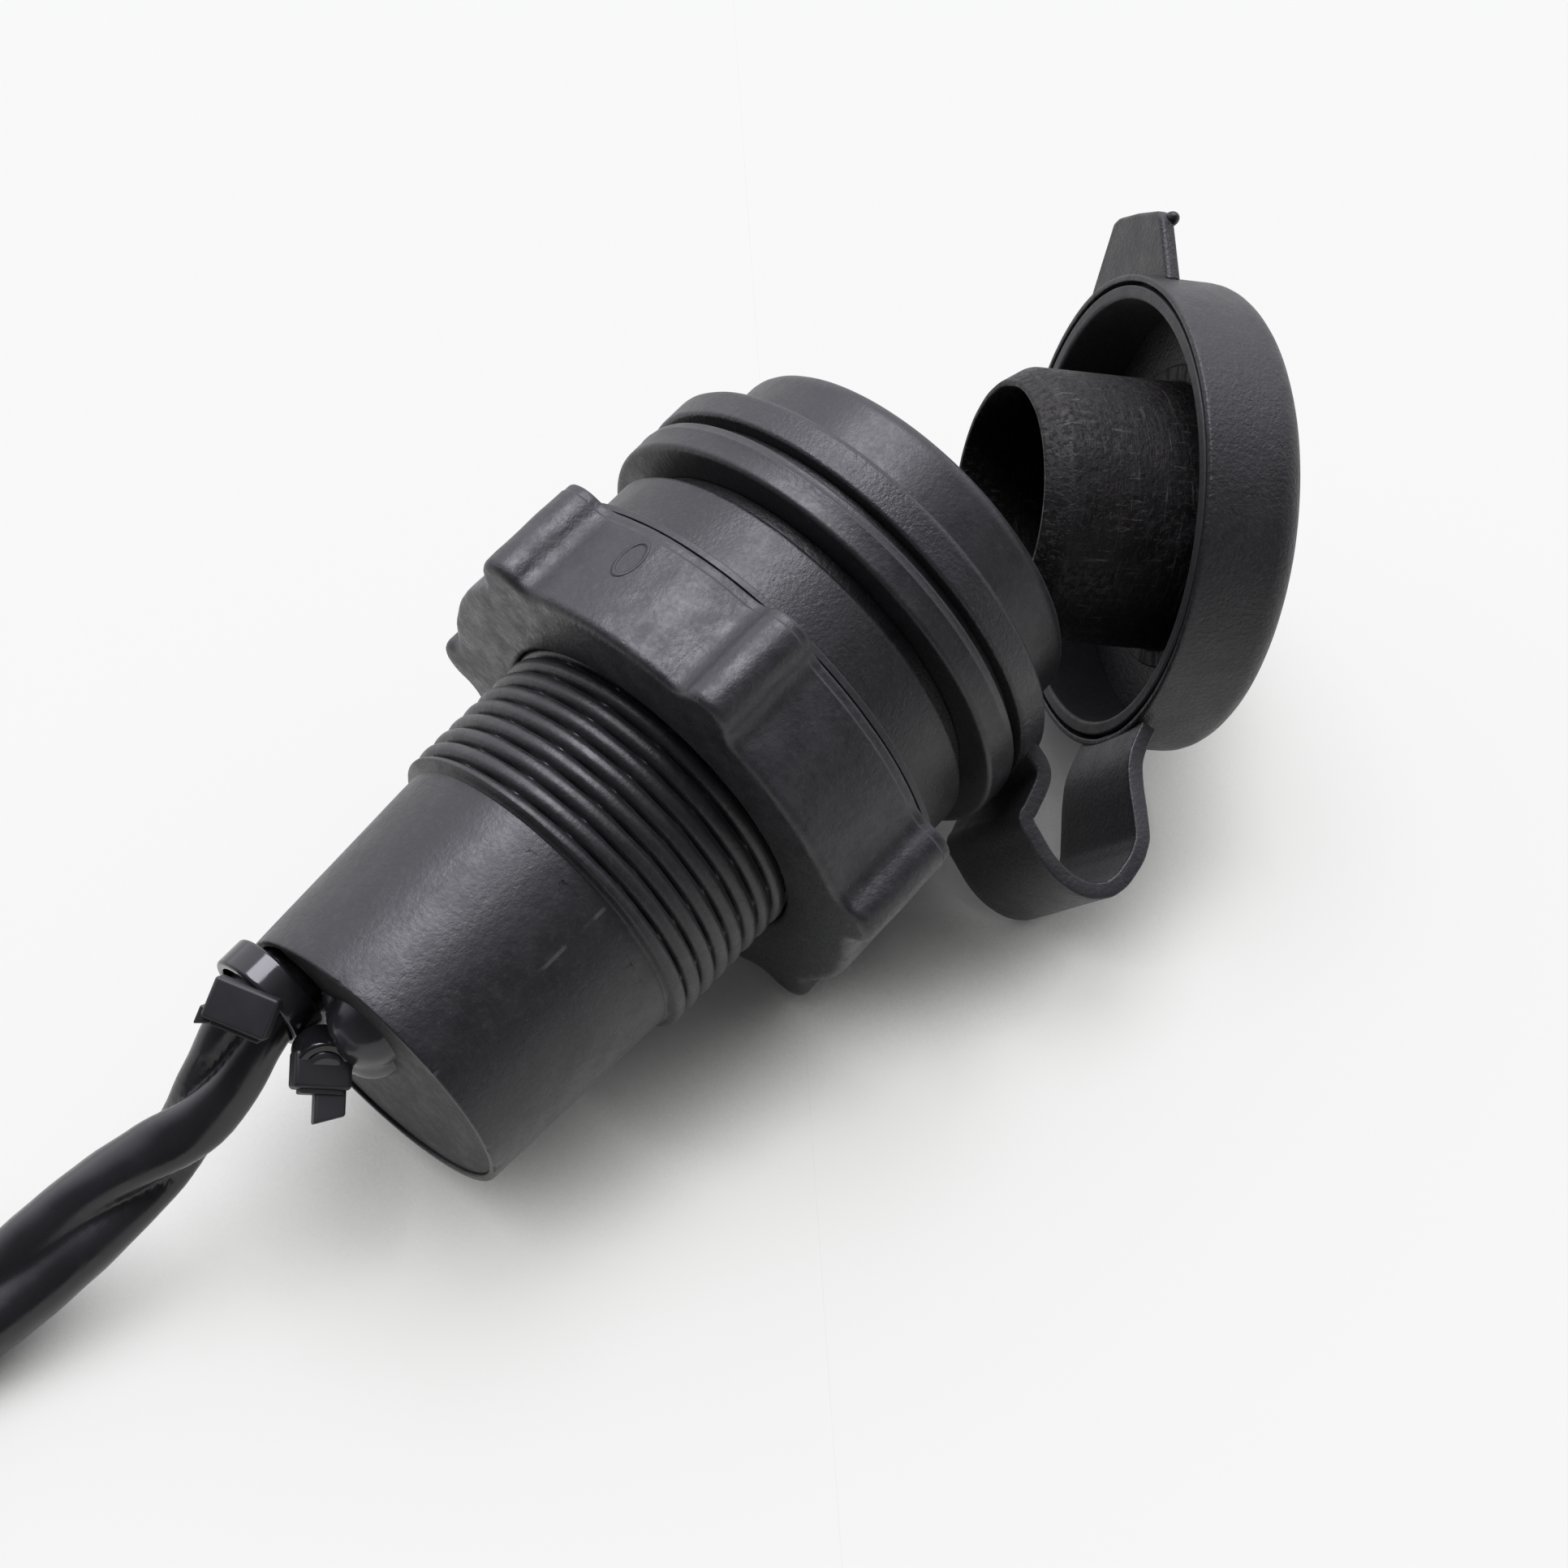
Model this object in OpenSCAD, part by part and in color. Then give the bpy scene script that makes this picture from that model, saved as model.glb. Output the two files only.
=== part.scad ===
// A panel-mount 12 volt power socket lying open on a surface: a threaded housing with its nut, washer and
// collar, a rubber cap on a looped strap, the contacts inside, and a short two-wire lead in a sleeve.
// The socket's own pieces are drawn about its axis, rear end at zero, and then laid down as one.

/* [Thread] */
// Wall between the contact sleeve's seat and the thread's root
thread_wall = 2; // [1.4:0.1:3]
// Distance from one ridge of the thread to the next
thread_pitch = 1.6; // [1.4:0.1:2.2]
// Length of the threaded stretch
thread_len = 22.8; // [18:0.2:28]
// Radius of the rounded ridges
ridge_r = 0.6; // [0.4:0.05:0.65]

/* [Barrel] */
// Wall round the contact sleeve's seat at the barrel's rear end
rear_wall = 1.2; // [1.05:0.05:1.65]
// Room for tags and wires between the end cover and the contact sleeve
chamber_len = 9.7; // [7:0.1:14]
// Wall of the thin rear rim
rim_wall = 0.6; // [0.4:0.05:1]

/* [Socket] */
// Bore that the plug goes into
socket_d = 21; // [20.5:0.1:21.2]
// Wall of the contact sleeve
shell_wall = 0.6; // [0.4:0.05:0.7]
// Length of the contact sleeve with its closed end
shell_len = 33; // [26:0.5:33.5]
// Thickness of the sleeve's closed end
shell_base = 1; // [0.6:0.1:1.4]
// Diameter of the centre contact
button_d = 9; // [7:0.5:12]

/* [Collar and flange] */
// Outside diameter of the sealing collar
collar_d = 36; // [33:0.5:38]
// Length of the collar's wide part
collar_len = 5.75; // [4:0.25:9]
// Length of the collar's narrow step against the flange
collar_step = 1.55; // [1:0.05:2.5]
// How far the flange stands out past the lip
flange_out = 2.9; // [1.8:0.1:3.1]
// Thickness of the flange
flange_t = 3; // [2:0.1:4]
// Height of the dark groove in front of the flange
groove_t = 0.95; // [0.6:0.05:1.2]

/* [Lip] */
// Wall of the front lip that the cap closes over, at its opening
lip_wall = 3.5; // [2.8:0.1:4]
// How far the lip reaches in front of the cap's rim
lip_reach = 5.2; // [3.5:0.05:5.3]
// Opening at the lip's front edge
mouth_d = 26.4; // [26:0.2:27.4]

/* [Nut] */
// Round body of the nut
nut_d = 41; // [38:0.2:43]
// Thickness of the nut
nut_t = 9.6; // [7:0.2:12]
// Radius of each grip lobe
lobe_r = 2.4; // [2:0.1:3]
// Number of grip lobes
lobe_count = 6; // [5:1:8]
// Thickness of the washer in front of the nut
washer_t = 0.6; // [0.4:0.1:1]
// Outside diameter of the washer
washer_d = 40.4; // [36:0.2:42]

/* [Cap] */
// Wall of the cap's skirt
skirt_wall = 0.55; // [0.4:0.05:0.9]
// Wall of the liner that closes over the lip
liner_wall = 1.1; // [0.8:0.05:1.3]
// Depth of the cap from its rim to its back
cap_depth = 8.6; // [8.2:0.1:10]
// Thickness of the cap's back
cap_back = 2.6; // [1.4:0.1:2.7]
// Outside diameter of the plug tube in the cap
plug_d = 22; // [20.5:0.1:22.2]
// How far the plug tube stands out past the rim
plug_reach = 9.5; // [7:0.1:9.8]
// Wall of the plug tube
plug_wall = 1.7; // [1.2:0.1:2.4]
// Angle that the cap stands open at, as it lies
cap_open = 46.1; // [40:0.1:50]
// How far the finger tab stands out past the cap
tab_out = 5.25; // [3.8:0.05:7.8]
// Width of the finger tab at its root
tab_w = 14.4; // [12:0.2:18]
// Thickness of the finger tab
tab_t = 1.3; // [1:0.1:2]

/* [Strap] */
// Width of the strap
strap_w = 15.2; // [13:0.2:17]
// Thickness of the strap
strap_t = 1.4; // [1:0.1:1.5]
// Front to rear thickness of the ring that the strap grows from
ring_t = 2.95; // [2.6:0.05:3]

/* [Rear end] */
// Thickness of the end cover
cover_t = 2; // [1.2:0.1:2.4]
// Radius of the cable outlet in the end cover
outlet_r = 3.5; // [3.4:0.05:3.7]
// How far the outlet lies from the axis
outlet_x = 8; // [7.8:0.05:8.2]
// Width of the cable ties' bands
tie_w = 2.6; // [2:0.1:3]
// Thickness of the cable ties' bands
tie_t = 0.7; // [0.5:0.05:0.9]

/* [Lead] */
// Diameter of the sleeved lead
lead_d = 6.4; // [5:0.2:6.4]
// Diameter of each insulated wire inside it
wire_d = 2; // [1.6:0.1:2.4]
// Diameter across the coil, at the middle of its turns
coil_d = 70; // [66:1:76]
// Length of the connector at the far end
connector_len = 24; // [18:1:32]

/* [Hidden] */
$fn = 96;

// Where the rear end's middle lies when the socket lies down, and how it is turned
rear_at = [-42.61, 3.76, 16.21];
tilt_up = 8.4;
roll = 56.67;
// Small overlap, how far a cut runs past a face, and the clearances between pieces
eps = 0.02;
past = 1;
fit = 0.05;
face_gap = 0.1;
thread_gap = 0.15;

// Stations along the axis: the contact sleeve and the room behind it give the flange its place, and the
// plain barrel takes what the flange, collar and thread leave
cover_rim = 0.3;
z_cavity = cover_rim + cover_t;
z_shell = z_cavity + chamber_len;
z_shell_front = z_shell + shell_len;
shell_inset = 6.75;
z_ring = z_shell_front + shell_inset;
z_groove = z_ring - groove_t;
z_flange = z_groove - flange_t;
z_collar = z_flange - collar_len - collar_step;
z_thread = z_collar - thread_len;
z_ring_top = z_ring + ring_t;
rim_gap = 0.8;
z_rim = z_ring_top + rim_gap;
z_lip = z_rim + lip_reach;
z_back = z_rim + cap_depth;
z_ceiling = z_back - cap_back;

// Housing, its radii worked out from the contact sleeve and the walls round it
shell_r = socket_d / 2 + shell_wall;
sleeve_seat_r = shell_r + fit;
sleeve_ledge = 0.75;
cavity_r = sleeve_seat_r - sleeve_ledge;
thread_depth = 0.85;
root_r = sleeve_seat_r + thread_wall;
thread_r = root_r + thread_depth;
barrel_front_r = root_r - fit;
rear_r = sleeve_seat_r + rear_wall;
rim_round = 0.25;
seat_r = rear_r - rim_wall;
relief_gap = 0.7;
relief_r = plug_d / 2 + relief_gap;
funnel_up = 2.25;
z_funnel = z_ring + funnel_up;
lip_r = mouth_d / 2 + lip_wall;
flange_r = lip_r + flange_out;
flange_round = 0.6;
groove_in = 1.3;
groove_r = flange_r - groove_in;
collar_step_in = 1.5;
edge = 0.3;
lip_round = 1.2;

// Nut and washer
nut_front = z_collar - face_gap - washer_t;
nut_rear = nut_front - face_gap - nut_t;
lobe_in = 0.1;
lobe_at = nut_d / 2 - lobe_in;
lobe_turn = 21.7;
lobe_fillet = 2;
nut_chamfer = 0.6;

// Cap, in its closed place, and the strap's pivot
cap_gap = 0.55;
cap_bore_r = lip_r + cap_gap;
liner_r = cap_bore_r + liner_wall;
rim_groove = 0.35;
skirt_in_r = liner_r + rim_groove;
cap_r = skirt_in_r + skirt_wall;
back_round = 2.2;
rim_groove_depth = 4;
pivot_out = 8.8;
pivot_up = 1.55;
pivot = [flange_r + pivot_out, z_ring + pivot_up];
tab_reach = cap_r + tab_out;
tab_z = z_rim + 2;
tab_chamfer = 1.8;
tab_flare = 0.6;
bead_r = 0.9;
bead_in = 2.2;
tab_root_in = 3;
plug_lip = 0.35;
plug_chamfer = 2;
plug_foot = 1.5;
plug_foot_t = 0.6;

// Strap's middle line, as distances from the pivot: x outwards, z to the front
ring_leg = [[-10.4, -0.3], [-8.2, -1], [-7.1, -3.7], [-6.8, -4.7], [-5.2, -5.2], [-3.4, -5.6],
            [-1.8, -5.65], [-0.2, -5.3], [0.9, -4.7], [1.75, -3.7], [2.02, -2.9], [2.04, -2.7]];
bend_line = [[2.05, -2.65], [2.1, -1.9], [1.8, -0.1], [1.4, 0.9], [0.95, 1.68]];
cap_leg = [[-0.8, 1.9], [-2.5, 1.8], [-4.6, 1.5], [-6.6, 1], [-7.8, 1.6], [-9.4, 3]];

// Contacts
insulator_r = 7;
insulator_t = 1.4;
neck_r = 2.6;
rivet_r = 1.2;
rivet_head_r = 2.3;
rivet_head_t = 0.8;
tag_t = 0.8;
tag_w = 3;
tag_pad = 0.6;
tag_reach = 5;
tag_tail = 3.6;
z_base_front = z_shell + shell_base;
shell_step_at = 7.5;
shell_step_in = 0.3;
insulator_rear_r = 3.4;
spot_r = 0.6;
z_button = z_base_front + insulator_t;
button_t = 2.4;
negative_y = 5.6;

// Wires from the tags to the lead, which starts just inside the outlet
wire_r = wire_d / 2;
wire_pitch = 1.15;
wire_start = 2;
wire_straight = 1.2;
solder_r = 1.3;

// Beads of adhesive: x, y and radius, and how deep they sit in the end cover
beads = [[-3.9, -1.6, 3.4], [-2.6, -4.6, 3.2], [-2.4, 1, 3.2], [-1.4, -2, 3]];
bead_sink = 0.25;
outlet_slot_w = 5.6;

// Cable ties: places are measured from the rear end's middle
upper_tie_at = [-9.1, 0, -1.9];
upper_tie_slack = 0.15;
upper_head_at = [-10.93, -3.3, -5.25];
upper_head = [3.4, 3.2, 3.3];
upper_turn = [0, -20, -27];
upper_tail_at = [-1.1, -0.4, -1.2];
lower_tie_at = [-3.2, -2.6, -2.95];
lower_turn = [90, 0, 0];
lower_swing = -43;
lower_lean = 40;
lower_tie_r = 2.1;
lower_head = [3.6, 3, 2.4];
lower_head_at = [0, -2, 0];
lower_tail_at = [0.9, -4.3, 0];
tail_len = 2.6;
tie_tail_w = 2.2;

// The lead's middle line from the outlet to the coil, chosen by hand
lead_r = lead_d / 2;
lead_route = [[-41.8, 10.6, 20.8], [-45.2, 11.3, 20.4], [-48.2, 11.4, 18.4], [-51, 11.4, 15.6],
              [-54.2, 11.6, 13.2], [-58.6, 12.6, 10.8], [-62.6, 13.6, 9], [-66.6, 14.6, 7],
              [-71.2, 15.7, 4.9], [-75.6, 16.8, 3.6], [-80, 18.3, 3.3], [-84.2, 20.5, 3.2],
              [-88, 23.3, 3.2], [-91, 26.3, 3.2], [-95.4, 31.4, 3.2], [-99.7, 36.4, 3.2],
              [-104.1, 41.5, 3.2]];
lead_sides = 10;
lead_steps = 3;
coil_centre = [-133, 16.5];
// The lead's end lies on top of the coil's inner turn, and the connector on the coil
tail_r = coil_d / 2 - lead_r;
tail_from = -30;
tail_turn = 120;
tail_rise = 3 * lead_r + fit;
boot_len = 8;
boot_core_r = lead_r - 0.6;
boot_rib = 1.2;
connector_w = 15;
connector_h = 6.4;
connector_wall = 1;
pin_r = 1;
pin_pitch = 6;
pin_len = 9;

// Lays the socket down: its axis points along X with the front tilted up
module laid() {
    translate(rear_at) rotate([0, 90 - tilt_up, 0]) rotate([0, 0, -roll]) children();
}

// Swings the cap's pieces open from their closed place
module opened() {
    at = [pivot[0], 0, pivot[1]];
    translate(at) rotate([0, cap_open, 0]) translate(-at) children();
}

// The line's edge on one side of it, at the given distance, with its corners mitred
function edge_line(p, away) = [
    for (i = [0 : len(p) - 1])
        let (a = unit(p[max(i, 1)] - p[max(i, 1) - 1]),
             b = unit(p[min(i, len(p) - 2) + 1] - p[min(i, len(p) - 2)]),
             mid = unit(a + b))
        p[i] + away / (mid * a) * [-mid[1], mid[0]]];

// A flat band of the given width along a line of [x, z] points
module band(points, thick, width) {
    back = edge_line(points, -thick / 2);
    rotate([90, 0, 0]) linear_extrude(height = width, center = true)
        polygon(concat(edge_line(points, thick / 2), [for (i = [len(back) - 1 : -1 : 0]) back[i]]));
}

// Points of a rounded corner
function corner(at, r, from, to, steps = 6) =
    [for (i = [0 : steps]) let (a = from + (to - from) * i / steps) at + r * [cos(a), sin(a)]];

module housing() {
    outline = concat(
        [[seat_r, 0], [rear_r - rim_round, 0], [rear_r, rim_round], [barrel_front_r, z_thread],
         [root_r, z_thread], [root_r, z_collar], [thread_r, z_collar], [thread_r, z_flange]],
        corner([flange_r - flange_round, z_flange + flange_round], flange_round, -90, 0),
        corner([flange_r - flange_round, z_groove - flange_round], flange_round, 0, 90),
        [[groove_r, z_groove], [groove_r, z_ring], [lip_r, z_ring]],
        corner([lip_r - lip_round, z_lip - lip_round], lip_round, 0, 90),
        [[mouth_d / 2, z_lip], [relief_r, z_funnel], [relief_r, z_shell_front], [sleeve_seat_r, z_shell_front],
         [sleeve_seat_r, z_shell], [cavity_r, z_shell], [cavity_r, z_cavity], [seat_r, z_cavity]]);
    color("#202123") laid() rotate_extrude() {
        polygon(outline);
        for (z = [z_thread + thread_pitch / 2 : thread_pitch : z_collar - ridge_r])
            translate([thread_r - ridge_r, z]) circle(ridge_r, $fn = 32);
    }
}

module sealing_collar() {
    color("#1d1e20") laid() translate([0, 0, z_collar]) difference() {
        union() {
            cylinder(r = collar_d / 2 - collar_step_in, h = collar_len + collar_step);
            cylinder(r1 = collar_d / 2 - flange_round, r2 = collar_d / 2, h = flange_round);
            translate([0, 0, flange_round]) cylinder(r = collar_d / 2, h = collar_len - 2 * flange_round);
            translate([0, 0, collar_len - flange_round])
                cylinder(r1 = collar_d / 2, r2 = collar_d / 2 - flange_round, h = flange_round);
        }
        translate([0, 0, -past]) cylinder(r = thread_r + fit, h = collar_len + collar_step + 2 * past);
    }
}

module slip_washer() {
    color("#232427") laid() translate([0, 0, nut_front]) difference() {
        cylinder(r = washer_d / 2, h = washer_t);
        translate([0, 0, -past]) cylinder(r = thread_r + thread_gap, h = washer_t + 2 * past);
    }
}

// Points of an arc without its last one, which starts the next arc
function arc(at, r, from, to, steps) =
    [for (i = [0 : steps - 1]) let (a = from + (to - from) * i / steps) at + r * [cos(a), sin(a)]];

// One lobe, its fillets on both sides and the round body as far as the next lobe
function nut_sector() =
    let (fillet_at = nut_d / 2 + lobe_fillet,
         reach = lobe_r + lobe_fillet,
         turn = acos((fillet_at * fillet_at + lobe_at * lobe_at - reach * reach) / (2 * fillet_at * lobe_at)),
         fillet = fillet_at * [cos(turn), sin(turn)],
         to_lobe = atan2(-fillet[1], lobe_at - fillet[0]))
    concat(
        arc([fillet[0], -fillet[1]], lobe_fillet, 180 - turn, -to_lobe, 5),
        arc([lobe_at, 0], lobe_r, -180 - to_lobe, 180 + to_lobe, 12),
        arc(fillet, lobe_fillet, to_lobe, turn - 180, 5),
        arc([0, 0], nut_d / 2, turn, 360 / lobe_count - turn, 8));

function turned(p, a) = [p[0] * cos(a) - p[1] * sin(a), p[0] * sin(a) + p[1] * cos(a)];

module mounting_nut() {
    tip_r = lobe_at + lobe_r;
    color("#2b2c2f") laid() translate([0, 0, nut_rear]) difference() {
        intersection() {
            linear_extrude(height = nut_t) polygon([for (i = [0 : lobe_count - 1], p = nut_sector())
                turned(p, lobe_turn + i * 360 / lobe_count)]);
            rotate_extrude() polygon([[0, 0], [tip_r - nut_chamfer, 0], [tip_r, nut_chamfer],
                [tip_r, nut_t - nut_chamfer], [tip_r - nut_chamfer, nut_t], [0, nut_t]]);
        }
        translate([0, 0, -past]) cylinder(r = thread_r + thread_gap, h = nut_t + 2 * past);
    }
}

// Strap line points in the socket's own place
function from_pivot(points) = [for (p = points) pivot + p];

module cap_ring() {
    color("#1e1f21") laid() difference() {
        union() {
            rotate_extrude() polygon(concat(
                [[0, z_ring], [flange_r - edge, z_ring], [flange_r, z_ring + edge]],
                corner([flange_r - flange_round, z_ring_top - flange_round], flange_round, 0, 90),
                [[0, z_ring_top]]));
            band(from_pivot(ring_leg), strap_t, strap_w);
        }
        translate([0, 0, z_ring - past]) cylinder(r = lip_r + fit, h = ring_t + 2 * past);
    }
}

module strap_bend() {
    color("#1e1f21") laid() band(from_pivot(bend_line), strap_t, strap_w);
}

module cap_shell() {
    color("#222326") laid() opened() difference() {
        union() {
            rotate_extrude() polygon(concat([[0, z_rim], [cap_r - edge, z_rim], [cap_r, z_rim + edge]],
                corner([cap_r - back_round, z_back - back_round], back_round, 0, 90), [[0, z_back]]));
            band(from_pivot(cap_leg), strap_t, strap_w);
            translate([0, 0, tab_z]) linear_extrude(height = tab_t) polygon([
                [-cap_r + tab_root_in, -tab_w / 2], [-cap_r + tab_root_in, tab_w / 2 + tab_flare],
                [-tab_reach + tab_chamfer, tab_w / 2], [-tab_reach, tab_w / 2 - tab_chamfer],
                [-tab_reach, -tab_w / 2 + tab_chamfer + tab_flare],
                [-tab_reach + tab_chamfer / 2, -tab_w / 2 + tab_flare]]);
            translate([-tab_reach + bead_in, -tab_w / 2 + bead_r, tab_z + tab_t]) sphere(bead_r, $fn = 32);
        }
        translate([0, 0, z_rim - rim_groove_depth]) cylinder(r = skirt_in_r, h = 2 * rim_groove_depth);
        translate([0, 0, z_rim]) cylinder(r = liner_r + fit, h = z_ceiling - z_rim);
    }
}

module cap_liner() {
    color("#191a1c") laid() opened() translate([0, 0, z_rim]) difference() {
        cylinder(r = liner_r, h = z_ceiling - z_rim);
        translate([0, 0, -past]) cylinder(r = cap_bore_r, h = z_ceiling - z_rim + 2 * past);
    }
}

module cap_plug() {
    tip = z_rim - plug_reach;
    bore_r = plug_d / 2 - plug_wall;
    foot_r = plug_d / 2 + plug_foot;
    foot_z = z_ceiling - plug_foot_t;
    color("#26211f") laid() opened() rotate_extrude() polygon([
        [bore_r, tip], [bore_r + plug_lip, tip], [plug_d / 2, tip + plug_chamfer], [plug_d / 2, foot_z],
        [foot_r, foot_z], [foot_r, z_ceiling], [bore_r, z_ceiling]]);
}

module contact_sleeve() {
    color("#b9bcc0") laid() translate([0, 0, z_shell]) difference() {
        cylinder(r = shell_r, h = shell_len);
        translate([0, 0, shell_base]) cylinder(r = socket_d / 2 - shell_step_in, h = shell_len);
        translate([0, 0, shell_step_at]) cylinder(r = socket_d / 2, h = shell_len);
        translate([0, 0, -past]) cylinder(r = neck_r + fit, h = shell_base + 2 * past);
    }
}

module contact_insulator() {
    color("#b58a52") laid() difference() {
        union() {
            translate([0, 0, z_base_front]) cylinder(r = insulator_r, h = insulator_t);
            translate([0, 0, z_shell - insulator_t]) cylinder(r = neck_r, h = shell_base + insulator_t + eps);
            translate([0, 0, z_shell - insulator_t]) cylinder(r = insulator_rear_r, h = insulator_t);
        }
        translate([0, 0, z_shell - 2 * insulator_t]) cylinder(r = rivet_r + fit, h = 6 * insulator_t);
    }
}

module centre_contact() {
    color("#c9a24a") laid() translate([0, 0, z_button]) difference() {
        union() {
            cylinder(r = button_d / 2, h = button_t / 2);
            translate([0, 0, button_t / 2]) cylinder(r1 = button_d / 2, r2 = button_d / 3, h = button_t / 4);
            translate([0, 0, button_t * 3 / 4])
                cylinder(r1 = button_d / 3, r2 = button_d / 6, h = button_t / 4);
        }
        translate([0, 0, -past]) cylinder(r = rivet_r + fit, h = button_t + 2 * past);
    }
}

module contact_rivet() {
    z_rear = z_shell - insulator_t - tag_t;
    color("#c0c2c6") laid() {
        translate([0, 0, z_rear]) cylinder(r = rivet_r, h = z_button + button_t - z_rear);
        translate([0, 0, z_rear - rivet_head_t]) cylinder(r = rivet_head_r, h = rivet_head_t);
    }
}

// A flat tag that lies across the axis and bends to the rear at its outer end
module tag(hole) {
    difference() {
        union() {
            cylinder(r = tag_w / 2 + tag_pad, h = tag_t);
            translate([-tag_reach, -tag_w / 2, 0]) cube([tag_reach, tag_w, tag_t]);
            translate([-tag_reach, -tag_w / 2, -tag_tail]) cube([tag_t, tag_w, tag_tail + tag_t]);
        }
        translate([0, 0, -past]) cylinder(r = hole, h = tag_t + 2 * past);
    }
}

module positive_tag() {
    color("#c9a24a") laid() translate([0, 0, z_shell - insulator_t - tag_t]) tag(rivet_r + fit);
}

module negative_tag() {
    color("#b9bcc0") laid() translate([0, negative_y, z_shell - tag_t]) tag(spot_r);
}

// A straight wire between two points
module wire(from, to) {
    run = to - from;
    translate(from) rotate([0, acos(run[2] / norm(run)), atan2(run[1], run[0])])
        cylinder(r = wire_r, h = norm(run), $fn = 32);
}

// The wire goes from a tag's tail to its place beside the other one at the start of the lead
module tag_wire(tag_y, tag_face, side) {
    bend = [-outlet_x, side * wire_pitch, wire_start + wire_straight];
    wire(bend, [-tag_reach - wire_r - solder_r / 2, tag_y, tag_face - tag_tail + wire_r]);
    wire([bend[0], bend[1], wire_start + eps], bend + [0, 0, wire_r / 2]);
}

module positive_wire() {
    color("#8c1d18") laid() tag_wire(0, z_shell - insulator_t - tag_t, -1);
}

module negative_wire() {
    color("#17181a") laid() tag_wire(negative_y, z_shell - tag_t, 1);
}

module solder_joints() {
    color("#c4c6c8") laid() for (tail = [[0, z_shell - insulator_t - tag_t], [negative_y, z_shell - tag_t]])
        translate([-tag_reach - eps, tail[0], tail[1] - tag_tail + wire_r]) rotate([0, -90, 0])
            cylinder(r1 = solder_r, r2 = solder_r / 2, h = solder_r / 2);
}

module end_cover() {
    color("#1a1b1d") laid() difference() {
        translate([0, 0, cover_rim]) cylinder(r = seat_r - fit, h = cover_t);
        translate([-outlet_x, 0, 0]) cylinder(r = outlet_r, h = z_cavity + past);
        translate([-2 * rear_r, -outlet_slot_w / 2, 0])
            cube([2 * rear_r - outlet_x, outlet_slot_w, z_cavity + past]);
    }
}

// Beads of adhesive that overlap and are flat where they lie on the end cover
module potting_seal() {
    color("#35363b") laid() difference() {
        for (b = beads) translate([b[0], b[1], cover_rim + b[2] * bead_sink]) sphere(b[2], $fn = 48);
        translate([-2 * rear_r, -2 * rear_r, cover_rim]) cube([4 * rear_r, 4 * rear_r, 2 * rear_r]);
        translate([-outlet_x, 0, -2 * rear_r]) cylinder(r = outlet_r, h = 4 * rear_r);
    }
}

// A tie's band as a hoop, with its locking head and the cut tail
module tie_band(inner_r) {
    difference() {
        cylinder(r = inner_r + tie_t, h = tie_w, center = true);
        cylinder(r = inner_r, h = tie_w + past, center = true);
    }
}

module cable_tie_upper() {
    color("#151618") laid() {
        translate(upper_tie_at) tie_band(lead_r + upper_tie_slack);
        translate(upper_head_at) rotate(upper_turn) {
            cube(upper_head, center = true);
            translate(upper_tail_at) cube([tie_tail_w, tie_t * 2, tail_len], center = true);
        }
    }
}

module cable_tie_lower() {
    color("#151618") laid() translate(lower_tie_at) rotate([0, lower_swing, 0]) rotate(lower_turn) {
        rotate([lower_lean, 0, 0]) tie_band(lower_tie_r - tie_t);
        translate(lower_head_at) cube(lower_head, center = true);
        translate(lower_tail_at) cube([tie_tail_w, tail_len, tie_t * 2], center = true);
    }
}

// A smooth curve through hand-placed points, and a tube swept along it
function spline(p, i, t) =
    let (a = p[max(i - 1, 0)], b = p[i], c = p[i + 1], d = p[min(i + 2, len(p) - 1)])
    0.5 * (2 * b + (c - a) * t + (2 * a - 5 * b + 4 * c - d) * t * t + (3 * b - a - 3 * c + d) * t * t * t);
function curve(p, steps) =
    concat([for (i = [0 : len(p) - 2], s = [0 : steps - 1]) spline(p, i, s / steps)], [p[len(p) - 1]]);
function unit(v) = v / norm(v);
function run_at(p, i) = unit(p[min(i + 1, len(p) - 1)] - p[max(i - 1, 0)]);

module tube(points, r, sides) {
    rings = [for (i = [0 : len(points) - 1])
        let (t = run_at(points, i), s = unit(cross(t, [0, 0, 1])), u = cross(s, t))
        for (k = [0 : sides - 1]) points[i] + r * (cos(360 * k / sides) * s + sin(360 * k / sides) * u)];
    last = (len(points) - 1) * sides;
    sheet = [for (i = [0 : len(points) - 2], k = [0 : sides - 1])
        [i * sides + k, i * sides + (k + 1) % sides, (i + 1) * sides + (k + 1) % sides, (i + 1) * sides + k]];
    ends = [[for (k = [sides - 1 : -1 : 0]) k], [for (k = [0 : sides - 1]) last + k]];
    polyhedron(points = rings, faces = concat(sheet, ends), convexity = 4);
}

module lead_sleeve() {
    color("#0e0f10") tube(curve(lead_route, lead_steps), lead_r, lead_sides);
}

module lead_coil() {
    color("#0e0f10") translate([coil_centre[0], coil_centre[1], lead_r]) rotate_extrude($fn = 128) {
        for (side = [-1, 1]) translate([coil_d / 2 + side * lead_r, 0]) circle(lead_r, $fn = 48);
        translate([coil_d / 2 - lead_r, -lead_r]) square(lead_d);
    }
}

// Places a piece at the lead's end, which lies on the coil and points along -X
module on_tail(along) {
    translate([coil_centre[0] - along, coil_centre[1] + tail_r, tail_rise]) rotate([0, -90, 0]) children();
}

module lead_tail() {
    color("#0e0f10") translate([coil_centre[0], coil_centre[1], tail_rise]) rotate([0, 0, tail_from])
        rotate_extrude(angle = tail_turn, $fn = 128) translate([tail_r, 0]) circle(lead_r, $fn = 48);
}

module connector_boot() {
    color("#131416") on_tail(0) {
        cylinder(r = boot_core_r, h = boot_len);
        for (rib = [0 : 2 * boot_rib : boot_len - boot_rib])
            translate([0, 0, rib]) cylinder(r = lead_r, h = boot_rib);
    }
}

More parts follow.
